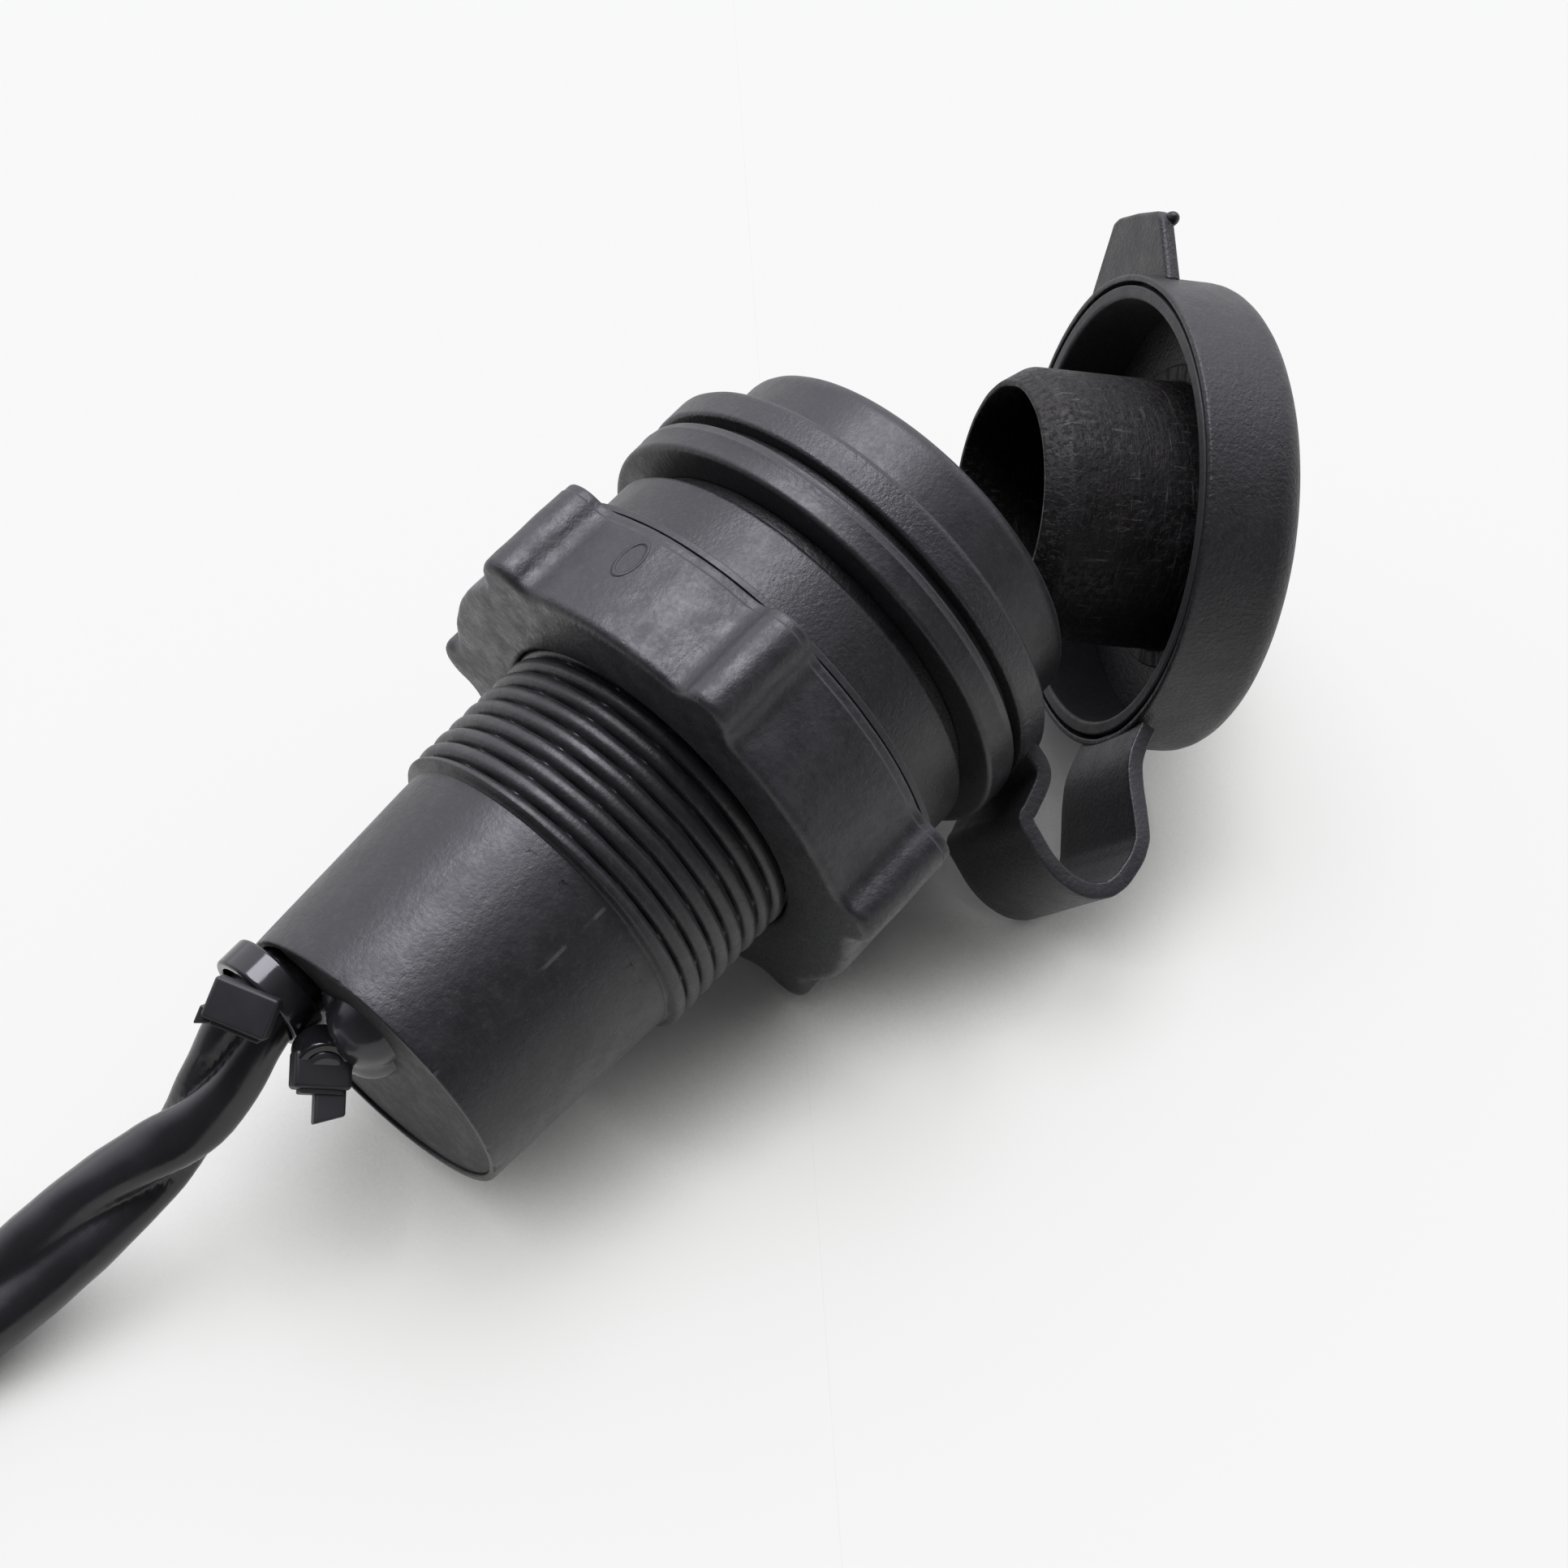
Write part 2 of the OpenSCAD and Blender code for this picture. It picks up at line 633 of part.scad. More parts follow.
module connector_body() {
    color("#131416") on_tail(boot_len) difference() {
        translate([-connector_h / 2, -connector_w / 2, 0]) cube([connector_h, connector_w, connector_len]);
        translate([-connector_h / 2 + connector_wall, -connector_w / 2 + connector_wall, connector_len / 2])
            cube([connector_h - 2 * connector_wall, connector_w - 2 * connector_wall, connector_len]);
    }
}

module connector_pins() {
    color("#b9bcc0") on_tail(boot_len + connector_len / 2) for (side = [-1, 1])
        translate([0, side * pin_pitch / 2, 0]) cylinder(r = pin_r, h = pin_len, $fn = 48);
}

housing();
sealing_collar();
slip_washer();
mounting_nut();
cap_ring();
strap_bend();
cap_shell();
cap_liner();
cap_plug();
contact_sleeve();
contact_insulator();
centre_contact();
contact_rivet();
positive_tag();
negative_tag();
positive_wire();
negative_wire();
solder_joints();
end_cover();
potting_seal();
cable_tie_upper();
cable_tie_lower();
lead_sleeve();
lead_coil();
lead_tail();
connector_boot();
connector_body();
connector_pins();
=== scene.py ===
"""Looks for the 12 V power socket: detailed pieces, materials, floor, light and camera."""

import math

import bpy
import numpy as np
from mathutils import Matrix, Vector, noise


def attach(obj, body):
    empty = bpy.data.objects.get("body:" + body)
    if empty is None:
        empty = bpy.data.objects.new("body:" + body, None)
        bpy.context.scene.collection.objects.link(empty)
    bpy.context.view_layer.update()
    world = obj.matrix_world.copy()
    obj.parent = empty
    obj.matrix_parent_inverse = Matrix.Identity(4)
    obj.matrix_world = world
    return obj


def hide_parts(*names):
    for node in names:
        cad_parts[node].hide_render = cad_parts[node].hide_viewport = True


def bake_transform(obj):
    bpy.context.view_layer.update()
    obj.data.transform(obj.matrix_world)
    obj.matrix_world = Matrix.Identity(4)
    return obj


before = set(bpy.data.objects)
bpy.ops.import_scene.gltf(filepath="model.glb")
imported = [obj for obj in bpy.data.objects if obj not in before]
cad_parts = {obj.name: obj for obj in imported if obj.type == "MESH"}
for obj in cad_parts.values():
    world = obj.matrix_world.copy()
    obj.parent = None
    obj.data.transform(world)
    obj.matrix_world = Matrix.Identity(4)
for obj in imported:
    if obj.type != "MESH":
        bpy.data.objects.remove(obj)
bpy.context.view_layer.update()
MM = 0.001
TINY = 1e-6

# Places in millimetres: the socket's own z runs from its rear end to its lip
REAR_AT = Vector((-42.61, 3.76, 16.21))
TILT_DEG = 8.4
ROLL_DEG = -56.67
LAID = (
    Matrix.Translation(REAR_AT)
    @ Matrix.Rotation(math.radians(90 - TILT_DEG), 4, "Y")
    @ Matrix.Rotation(math.radians(ROLL_DEG), 4, "Z")
)
Z_COVER = 2.3
Z_CHAMBER = 12
Z_THREAD = 17.7
Z_COLLAR = 40.5
Z_SHELL_TOP = 45
Z_FLANGE = 47.8
Z_SEAM = 49.8
Z_GROOVE = 50.8
Z_RING = 51.75
Z_RELIEF = 54.0
Z_RING_TOP = 54.7
Z_RIM = 55.5
Z_LIP = 60.7
Z_CEILING = 61.5
Z_BACK = 64.1

# Radii of the socket, outside and inside
REAR_R = 12.35
BARREL_R = 13.1
ROOT_R = 13.15
THREAD_R = 14.0
PITCH = 1.6
FLANGE_R = 19.6
GROOVE_R = 18.3
NECK_R = 16.7
LIP_BORE_R = 13.2
RELIEF_R = 11.7
SHELL_SEAT_R = 11.15
REAR_BORE_R = 10.4
COVER_SEAT_R = 11.75

# The cap's place: it swings open round the strap's bend
PIVOT_R = FLANGE_R + 8.8
PIVOT_Z = Z_RING + 1.55
PIVOT = Vector((PIVOT_R, 0, PIVOT_Z))
OPEN = math.radians(46.1)
SWING = Matrix.Translation(PIVOT) @ Matrix.Rotation(OPEN, 4, "Y") @ Matrix.Translation(-PIVOT)
CAP = LAID @ SWING

# Camera, solved from the photograph's circles
PHOTO_PX = 1932
FOCAL_PX = 4287.29
SENSOR_MM = 36
EYE = Vector((-128.06, -113.79, 232.04))
LOOK = Vector((0.4577, 0.4107, -0.7886))

scene = bpy.context.scene
camera = bpy.data.objects.new("view_camera", bpy.data.cameras.new("view_camera"))
scene.collection.objects.link(camera)
scene.camera = camera
camera.location = EYE * MM
camera.rotation_mode = "QUATERNION"
camera.rotation_quaternion = LOOK.to_track_quat("-Z", "Y")
camera.data.sensor_width = SENSOR_MM
camera.data.lens = SENSOR_MM * FOCAL_PX / PHOTO_PX
camera.data.clip_start = 0.01
camera.data.clip_end = 20

# Mesh helpers: limits of a rounded corner and of the edge loop beside it
STRAIGHT_DEG = 172
CORNER_SHARE = 0.45
GUARD_MOST = 0.25
GUARD_SHARE = 0.04


def link(name, verts, faces, material=None, place=None, sharp=50):
    """A smooth piece from points in millimetres, put in place, with edges sharp above an angle."""
    place = place or Matrix.Identity(4)
    mesh = bpy.data.meshes.new(name)
    mesh.from_pydata([(place @ Vector(v)) * MM for v in verts], [], faces)
    mesh.validate()
    mesh.update()
    piece = bpy.data.objects.new(name, mesh)
    scene.collection.objects.link(piece)
    mesh.polygons.foreach_set("use_smooth", [True] * len(mesh.polygons))
    if sharp:
        mesh.set_sharp_from_angle(angle=math.radians(sharp))
    if material:
        mesh.materials.append(material)
    return piece


def guard(run, cut):
    """How far beyond a rounding its edge loop lies, or 0 on a side that is too short for one."""
    reach = min(GUARD_MOST, GUARD_SHARE * run, 0.5 * cut + 0.05)
    return reach if run > 2.5 * cut + reach else 0


def rounded(points, radius=0.15, steps=4, closed=True):
    """A line of (r, z, own radius) points with its corners rounded and a loop beside each rounding."""
    out = []
    count = len(points)
    for i, point in enumerate(points):
        here = Vector(point[:2])
        own = point[2] if len(point) > 2 else radius
        back = Vector(points[i - 1][:2]) - here
        ahead = Vector(points[(i + 1) % count][:2]) - here
        back_run, ahead_run = back.length, ahead.length
        is_end = not closed and i in (0, count - 1)
        if is_end or own <= 0 or min(back_run, ahead_run) < TINY:
            out.append(here)
            continue
        back, ahead = back / back_run, ahead / ahead_run
        angle = back.angle(ahead)
        if angle > math.radians(STRAIGHT_DEG):
            out.append(here)
            continue
        cut = min(own / math.tan(angle / 2), CORNER_SHARE * back_run, CORNER_SHARE * ahead_run)
        own = cut * math.tan(angle / 2)
        centre = here + (back + ahead).normalized() * (own / math.sin(angle / 2))
        start, end = here + back * cut, here + ahead * cut
        if guard(back_run, cut):
            out.append(start + back * guard(back_run, cut))
        first, last = start - centre, end - centre
        turn = first.angle(last)
        for step in range(steps + 1):
            t = step / steps
            arm = first * math.sin((1 - t) * turn) + last * math.sin(t * turn)
            out.append(centre + arm / max(math.sin(turn), TINY))
        if guard(ahead_run, cut):
            out.append(end + ahead * guard(ahead_run, cut))
    return [(p.x, p.y) for p in out]


def lathe(name, line, material, place=LAID, seg=224, closed=True, shift=None, sharp=50):
    """Turns a line of (r, z) about the local z axis. shift(r, angle, z) may move each point."""
    verts, faces, rows = [], [], []
    for r, z in line:
        if r < TINY:
            rows.append([len(verts)])
            verts.append((0, 0, z))
            continue
        row = []
        for k in range(seg):
            a = math.tau * k / seg
            at_r, at_z = shift(r, a, z) if shift else (r, z)
            row.append(len(verts))
            verts.append((at_r * math.cos(a), at_r * math.sin(a), at_z))
        rows.append(row)
    pairs = list(zip(rows, rows[1:]))
    if closed:
        pairs.append((rows[-1], rows[0]))
    for a, b in pairs:
        for k in range(seg):
            m = (k + 1) % seg
            if len(a) == 1:
                faces.append((a[0], b[m], b[k]))
            elif len(b) == 1:
                faces.append((a[k], a[m], b[0]))
            else:
                faces.append((a[k], a[m], b[m], b[k]))
    return link(name, verts, faces, material, place, sharp)


def ring_line(bore, outer, low, high, corners):
    """A plain ring's section. corners holds their radii, from the low bore round to the high bore."""
    places = ((bore, low), (outer, low), (outer, high), (bore, high))
    return rounded([(*place, corner) for place, corner in zip(places, corners)])


def tube_faces(rows, sides, clockwise=False):
    """Quads between rows of points, and a face on each end. clockwise is as seen from the last row."""
    faces = []
    for start in range(0, (rows - 1) * sides, sides):
        for k in range(start, start + sides):
            m = start + (k + 1 - start) % sides
            faces.append((k, k + sides, m + sides, m) if clockwise else (k, m, m + sides, k + sides))
    near_end, far_end = tuple(range(sides)), tuple(range((rows - 1) * sides, rows * sides))
    return faces + ([near_end, far_end[::-1]] if clockwise else [near_end[::-1], far_end])


def spline(points, steps):
    """A smooth curve through the points (Catmull-Rom), as the CAD source draws it."""
    pts = [Vector(p) for p in points]
    out = []
    for i in range(len(pts) - 1):
        a, b, c, d = pts[max(i - 1, 0)], pts[i], pts[i + 1], pts[min(i + 2, len(pts) - 1)]
        bend = 2 * a - 5 * b + 4 * c - d
        ease = 3 * b - a - 3 * c + d
        for step in range(steps):
            t = step / steps
            out.append(0.5 * (2 * b + (c - a) * t + bend * t * t + ease * t**3))
    return out + [pts[-1]]


def even(points, step):
    """The same line with points at even steps, and how far along it each point lies."""
    pts = np.array([tuple(p) for p in points], float)
    run = np.concatenate([[0], np.cumsum(np.linalg.norm(np.diff(pts, axis=0), axis=1))])
    count = max(2, int(round(run[-1] / step)) + 1)
    at = np.linspace(0, run[-1], count)
    return np.stack([np.interp(at, run, pts[:, k]) for k in range(pts.shape[1])], 1), at


def smoothstep(low, high, x):
    t = min(1.0, max(0.0, (x - low) / (high - low)))
    return t * t * (3 - 2 * t)


def soft_noise(amount, scale):
    """A shift for lathe() that makes a moulding a little uneven."""
    def shift(r, a, z):
        spot = Vector((r * math.cos(a) * scale, r * math.sin(a) * scale, z * scale))
        return r + amount * noise.noise(spot), z

    return shift


def apply(piece):
    """Bakes a piece's modifiers into its mesh."""
    depsgraph = bpy.context.evaluated_depsgraph_get()
    made = bpy.data.meshes.new_from_object(piece.evaluated_get(depsgraph))
    piece.modifiers.clear()
    old = piece.data
    piece.data = made
    made.name = piece.name
    bpy.data.meshes.remove(old)


def bevel(piece, width, segments):
    """Rounds all edges, and weighs the normals by area so that flat faces stay flat beside them."""
    rounding = piece.modifiers.new("round", "BEVEL")
    rounding.width = width * MM
    rounding.segments = segments
    rounding.limit_method = "NONE"
    apply(piece)
    piece.data.polygons.foreach_set("use_smooth", [True] * len(piece.data.polygons))
    weighing = piece.modifiers.new("weighted", "WEIGHTED_NORMAL")
    weighing.mode = "FACE_AREA"
    weighing.weight = 50
    weighing.keep_sharp = False
    apply(piece)


def box_piece(name, size, material, place, width=0.25, lean=None):
    """A box with rounded edges. lean(x, y, z) may move its corners first."""
    x, y, z = (s / 2 for s in size)
    verts = [(sx * x, sy * y, sz * z) for sx in (-1, 1) for sy in (-1, 1) for sz in (-1, 1)]
    faces = [(0, 1, 3, 2), (4, 6, 7, 5), (0, 4, 5, 1), (2, 3, 7, 6), (0, 2, 6, 4), (1, 5, 7, 3)]
    if lean:
        verts = [lean(*v) for v in verts]
    piece = link(name, verts, faces, material, place, 0)
    bevel(piece, width, 4)
    return piece


def joined(name, pieces):
    """Joins mesh pieces into one object."""
    bpy.ops.object.select_all(action="DESELECT")
    for piece in pieces:
        piece.select_set(True)
    bpy.context.view_layer.objects.active = pieces[0]
    bpy.ops.object.join()
    pieces[0].name = name
    pieces[0].data.name = name
    return pieces[0]


# Materials: their nodes
def fill(node, values):
    """Sets a node's inputs by their names."""
    for socket, value in values.items():
        node.inputs[socket].default_value = value


class Nodes:
    """Short calls for building a material's nodes."""

    def __init__(self, name):
        self.material = bpy.data.materials.new(name)
        self.material.use_nodes = True
        self.tree = self.material.node_tree
        self.tree.nodes.clear()
        self.out = self.tree.nodes.new("ShaderNodeOutputMaterial")
        self.shader = self.tree.nodes.new("ShaderNodeBsdfPrincipled")
        self.join(self.shader.outputs[0], self.out.inputs[0])
        self.where = self.tree.nodes.new("ShaderNodeTexCoord").outputs["Object"]

    def join(self, source, target):
        self.tree.links.new(source, target)

    def put(self, node, socket, value):
        if isinstance(value, bpy.types.NodeSocket):
            self.join(value, node.inputs[socket])
        elif value is not None:
            node.inputs[socket].default_value = value

    def mapped(self, vector, scale, turn=(0, 0, 0), at=(0, 0, 0)):
        node = self.tree.nodes.new("ShaderNodeMapping")
        self.join(vector, node.inputs["Vector"])
        fill(node, {"Location": at, "Rotation": turn, "Scale": scale})
        return node.outputs[0]

    def local(self, place):
        """Coordinates in a piece's own frame, in millimetres."""
        at, turn, _ = place.inverted().decompose()
        return self.mapped(self.where, (1 / MM,) * 3, turn.to_euler(), at)

    def noise(self, scale, detail=3, rough=0.5, vector=None, warp=0.0, kind="FBM"):
        node = self.tree.nodes.new("ShaderNodeTexNoise")
        node.noise_type = kind
        self.join(vector or self.where, node.inputs["Vector"])
        fill(node, {"Scale": scale, "Detail": detail, "Roughness": rough, "Distortion": warp})
        return node.outputs["Fac"]

    def cells(self, scale):
        node = self.tree.nodes.new("ShaderNodeTexVoronoi")
        self.join(self.where, node.inputs["Vector"])
        node.inputs["Scale"].default_value = scale
        return node.outputs["Distance"]

    def math(self, kind, a, b=None, clamp=False):
        node = self.tree.nodes.new("ShaderNodeMath")
        node.operation = kind
        node.use_clamp = clamp
        self.put(node, 0, a)
        self.put(node, 1, b)
        return node.outputs[0]

    def times(self, a, b):
        return self.math("MULTIPLY", a, b)

    def plus(self, a, b, clamp=False):
        return self.math("ADD", a, b, clamp)

    def minus(self, a, b):
        return self.math("SUBTRACT", a, b)

    def most(self, a, b):
        return self.math("MAXIMUM", a, b)

    def span(self, value, low, high, to_low=0.0, to_high=1.0):
        """Carries low..high smoothly to to_low..to_high."""
        node = self.tree.nodes.new("ShaderNodeMapRange")
        node.interpolation_type = "SMOOTHSTEP"
        self.join(value, node.inputs["Value"])
        fill(node, {"From Min": low, "From Max": high, "To Min": to_low, "To Max": to_high})
        return node.outputs[0]

    def ramp(self, value, *stops):
        node = self.tree.nodes.new("ShaderNodeValToRGB")
        self.join(value, node.inputs[0])
        for item, (at, colour) in zip(node.color_ramp.elements, stops):
            item.position = at
            item.color = (*colour, 1)
        return node.outputs[0]

    def mix(self, share, a, b):
        node = self.tree.nodes.new("ShaderNodeMix")
        node.data_type = "RGBA"
        self.put(node, 0, share)
        for i, colour in ((6, a), (7, b)):
            self.put(node, i, colour if isinstance(colour, bpy.types.NodeSocket) else (*colour, 1))
        return node.outputs[2]

    def parts(self, vector):
        node = self.tree.nodes.new("ShaderNodeSeparateXYZ")
        self.join(vector, node.inputs[0])
        return node.outputs

    def vector(self, *values):
        node = self.tree.nodes.new("ShaderNodeCombineXYZ")
        for i, value in enumerate(values):
            self.put(node, i, value)
        return node.outputs[0]

    def length(self, vector):
        node = self.tree.nodes.new("ShaderNodeVectorMath")
        node.operation = "LENGTH"
        self.join(vector, node.inputs[0])
        return node.outputs["Value"]

    def bump(self, *layers):
        """Each layer is (height, strength, distance in millimetres)."""
        last = None
        for height, strength, distance in layers:
            node = self.tree.nodes.new("ShaderNodeBump")
            fill(node, {"Strength": strength, "Distance": distance * MM})
            self.join(height, node.inputs["Height"])
            if last:
                self.join(last, node.inputs["Normal"])
            last = node.outputs[0]
        self.join(last, self.shader.inputs["Normal"])

    def set(self, **values):
        names = {
            "colour": "Base Color", "rough": "Roughness", "metal": "Metallic",
            "spec": "Specular IOR Level", "sheen": "Sheen Weight", "sheen_rough": "Sheen Roughness",
        }
        for key, value in values.items():
            self.put(self.shader, names[key], value)
        return self.material


# Materials: black plastics and rubbers
DUST = (0.30, 0.30, 0.31)
GRIT = (0.05, 0.05, 0.054)
SCRATCHED = (0.16, 0.16, 0.17)
RUBBED = (0.1, 0.1, 0.11)
# Radii by which an angle round a piece becomes a distance in millimetres
SCRATCH_WRAP_R = 14.0
BARREL_WRAP_R = 12.5
PLUG_WRAP_R = 11.0
# Angles and z of the barrel's marks
PARTING_ANGLE = -1.37
SCRAPE_ANGLE = -2.07
SCRAPE_Z = 5.3


def around(graph, local):
    """Angle from -pi to pi, radius and height of local coordinates, as sockets."""
    x, y, z = graph.parts(local)
    angle = graph.math("ARCTAN2", y, x)
    radius = graph.math("SQRT", graph.plus(graph.times(x, x), graph.times(y, y)))
    return angle, radius, z


def scratches(graph, strength):
    """Faint scratches in patches round the socket."""
    angle, radius, z = around(graph, graph.local(LAID))
    wrap = graph.vector(graph.times(angle, SCRATCH_WRAP_R), z, radius)
    slant = graph.mapped(wrap, (0.35, 2.6, 1), (0, 0, 0.5))
    lines = graph.span(graph.noise(0.9, 5, 0.75, slant, 0.8, "RIDGED_MULTIFRACTAL"), 0.93, 1.25)
    patches = graph.span(graph.noise(0.16, 2, 0.5, wrap), 0.5, 0.64)
    return graph.times(graph.times(lines, patches), strength)


def plastic(name, dark, light, rough=(0.42, 0.58), grain=2600, grain_depth=0.012, dust=0.25, scuff=0.0,
            spec=0.5, sheen=0.03, extra=None):
    """Moulded black plastic: a tone that drifts, fine spark texture, dust specks and faint scuffs."""
    graph = Nodes(name)
    fine = graph.noise(grain, 2, 0.6)
    soft = graph.noise(420, 3, 0.6)
    grit = graph.noise(grain * 0.55, 3, 0.75)
    tone = graph.plus(graph.times(graph.noise(55, 4, 0.55), 0.65), graph.times(soft, 0.35))
    colour = graph.ramp(tone, (0.3, dark), (0.72, light))
    specks = graph.span(graph.cells(900), 0.0, 0.075, 1, 0)
    patches = graph.span(graph.noise(130, 2), 0.52, 0.68)
    colour = graph.mix(graph.times(graph.times(specks, patches), dust), colour, DUST)
    colour = graph.mix(graph.span(grit, 0.5, 0.72, 0.0, 0.22), colour, GRIT)
    uneven = graph.plus(graph.times(soft, 0.6), graph.times(fine, 0.4))
    roughness = graph.span(uneven, 0.35, 0.65, rough[0], rough[1])
    layers = [(fine, 0.9, grain_depth * 2.4), (grit, 0.8, grain_depth * 3), (soft, 0.4, 0.02)]
    if scuff:
        marks = scratches(graph, scuff)
        colour = graph.mix(marks, colour, SCRATCHED)
        roughness = graph.plus(roughness, graph.times(marks, 0.12), clamp=True)
        layers.append((marks, 0.3, 0.02))
    if extra:
        colour, roughness, more = extra(graph, colour, roughness)
        layers += more
    graph.bump(*layers)
    return graph.set(colour=colour, rough=roughness, spec=spec, sheen=sheen, sheen_rough=0.35)


def barrel_marks(graph, colour, roughness):
    """The mould's parting line along the barrel, and a scraped patch."""
    local = graph.local(LAID)
    angle, _, z = around(graph, local)
    off = graph.math("ABSOLUTE", graph.minus(angle, PARTING_ANGLE))
    line = graph.times(graph.span(off, 0.006, 0.016, 1, 0), graph.span(z, 17.2, 17.6, 1, 0))
    bright = graph.times(line, graph.span(graph.noise(0.35, 2, 0.5, local), 0.5, 0.66, 0.0, 0.5))
    across = graph.times(graph.minus(angle, SCRAPE_ANGLE), BARREL_WRAP_R)
    wrap = graph.vector(across, graph.minus(z, SCRAPE_Z), 0.0)
    streaks = graph.noise(1.6, 4, 0.7, graph.mapped(wrap, (0.3, 1.7, 1), (0, 0, 0.9)), 0.9)
    patch = graph.span(graph.length(wrap), 0.6, 2.1, 0.32, 0.0)
    bright = graph.most(bright, graph.times(graph.span(streaks, 0.52, 0.66), patch))
    return graph.mix(bright, colour, RUBBED), roughness, [(line, 0.35, 0.03)]


def plug_marks(graph, colour, roughness):
    """Rough moulded skin on the plug: pits, a brown bloom, and dull streaks round and along it."""
    angle, _, z = around(graph, graph.local(CAP))
    wrap = graph.vector(graph.times(angle, PLUG_WRAP_R), z, 0.0)
    streak = graph.noise(0.8, 5, 0.75, graph.mapped(wrap, (0.35, 3.4, 1)), 0.4)
    pits = graph.span(graph.noise(1.9, 4, 0.7, wrap), 0.5, 0.64)
    bloom = graph.span(graph.noise(0.22, 3, 0.6, wrap), 0.42, 0.66, 0.0, 0.5)
    colour = graph.mix(bloom, colour, (0.012, 0.0095, 0.0085))
    rub = graph.noise(1.3, 4, 0.7, graph.mapped(wrap, (0.12, 2.2, 1), (0, 0, 0.12)), 0.3)
    rub = graph.times(graph.span(rub, 0.6, 0.68), graph.span(z, 50, 56, 0.25, 0.9))
    along = graph.noise(1.1, 4, 0.75, graph.mapped(wrap, (2.4, 0.25, 1)), 0.3)
    patch = graph.span(graph.noise(0.3, 2, 0.5, wrap), 0.46, 0.56, 0.1, 0.8)
    rub = graph.most(rub, graph.times(graph.span(along, 0.56, 0.66), patch))
    bright = graph.times(graph.span(streak, 0.55, 0.7), graph.times(pits, 0.7))
    colour = graph.mix(graph.most(bright, rub), colour, (0.075, 0.072, 0.07))
    roughness = graph.plus(roughness, graph.times(pits, 0.2), clamp=True)
    return colour, roughness, [(streak, 0.8, 0.08), (pits, 0.7, 0.08)]


black = plastic("socket_black", (0.009, 0.0092, 0.0104), (0.016, 0.0163, 0.0183), (0.37, 0.49), scuff=0.8,
                extra=barrel_marks)
collar_black = plastic("collar_black", (0.006, 0.0061, 0.007), (0.011, 0.0112, 0.0127), (0.38, 0.48),
                       grain=3200, grain_depth=0.016, dust=0.3)
washer_black = plastic("washer_black", (0.014, 0.0142, 0.016), (0.021, 0.0213, 0.024), (0.42, 0.55))
rubber = plastic("cap_rubber", (0.006, 0.0061, 0.007), (0.011, 0.0112, 0.0127), (0.4, 0.52),
                 grain=3400, grain_depth=0.03, dust=0.2)
rubber_flat = plastic("ring_rubber", (0.011, 0.0112, 0.0127), (0.018, 0.0183, 0.0206), (0.38, 0.48),
                      grain=3200, grain_depth=0.025, dust=0.3)
rubber_strap = plastic("strap_rubber", (0.009, 0.0092, 0.0104), (0.015, 0.0152, 0.0172), (0.42, 0.54),
                       grain=3000, grain_depth=0.02, dust=0.15)
liner_black = plastic("liner_black", (0.012, 0.0122, 0.0135), (0.018, 0.0182, 0.02), (0.5, 0.62),
                      grain=2400, dust=0.3)
cover_black = plastic("cover_black", (0.009, 0.009, 0.01), (0.015, 0.015, 0.0165), (0.5, 0.65), dust=0.3)
connector_black = plastic("connector_black", (0.014, 0.0142, 0.0155), (0.022, 0.0222, 0.024), (0.4, 0.55))
plug_black = plastic("plug_black", (0.004, 0.0038, 0.0038), (0.0075, 0.007, 0.0068), (0.42, 0.6),
                     grain=1500, grain_depth=0.03, dust=0.5, spec=0.3, sheen=0.0, extra=plug_marks)


# Materials: metals, wires, adhesive and the sleeve
def metal(name, colour, low=0.18, high=0.4):
    graph = Nodes(name)
    tone = graph.ramp(graph.noise(120, 4, 0.6), (0.3, tuple(c * 0.82 for c in colour)), (0.7, colour))
    graph.bump((graph.noise(1400, 3, 0.6), 0.35, 0.01))
    roughness = graph.span(graph.noise(260, 4, 0.65), 0.3, 0.7, low, high)
    return graph.set(colour=tone, metal=1.0, rough=roughness)


def coloured(name, dark, light, rough):
    graph = Nodes(name)
    graph.bump((graph.noise(1500, 3, 0.6), 0.3, 0.01))
    tone = graph.ramp(graph.noise(150, 4), (0.3, dark), (0.7, light))
    return graph.set(colour=tone, rough=graph.span(graph.noise(300, 3), 0.3, 0.7, rough[0], rough[1]))


def sleeve(name):
    graph = Nodes(name)
    colour = graph.ramp(graph.noise(90, 3), (0.35, (0.01, 0.01, 0.0112)), (0.7, (0.018, 0.018, 0.0205)))
    smear = graph.span(graph.noise(220, 4, 0.65, warp=1.2), 0.35, 0.7, 0.2, 0.36)
    graph.bump((graph.noise(260, 2, 0.5), 0.35, 0.1), (graph.noise(1500, 3, 0.6), 0.25, 0.014))
    return graph.set(colour=colour, rough=smear, spec=0.5)


steel = metal("plated_steel", (0.6, 0.6, 0.61))
brass = metal("brass", (0.72, 0.52, 0.22))
solder = metal("solder", (0.55, 0.55, 0.56), 0.2, 0.5)
paper = coloured("insulator_board", (0.30, 0.17, 0.08), (0.42, 0.26, 0.12), (0.5, 0.7))
wire_red = coloured("wire_red", (0.25, 0.01, 0.008), (0.36, 0.018, 0.012), (0.3, 0.45))
wire_black = coloured("wire_black", (0.008, 0.008, 0.009), (0.015, 0.015, 0.017), (0.3, 0.45))
glue = coloured("adhesive", (0.024, 0.024, 0.028), (0.045, 0.045, 0.052), (0.18, 0.3))
tie_black = coloured("tie_black", (0.008, 0.008, 0.009), (0.016, 0.016, 0.018), (0.09, 0.18))
tie_matt = coloured("tie_matt", (0.013, 0.013, 0.0145), (0.022, 0.022, 0.025), (0.42, 0.56))
sleeve_black = sleeve("sleeve_black")

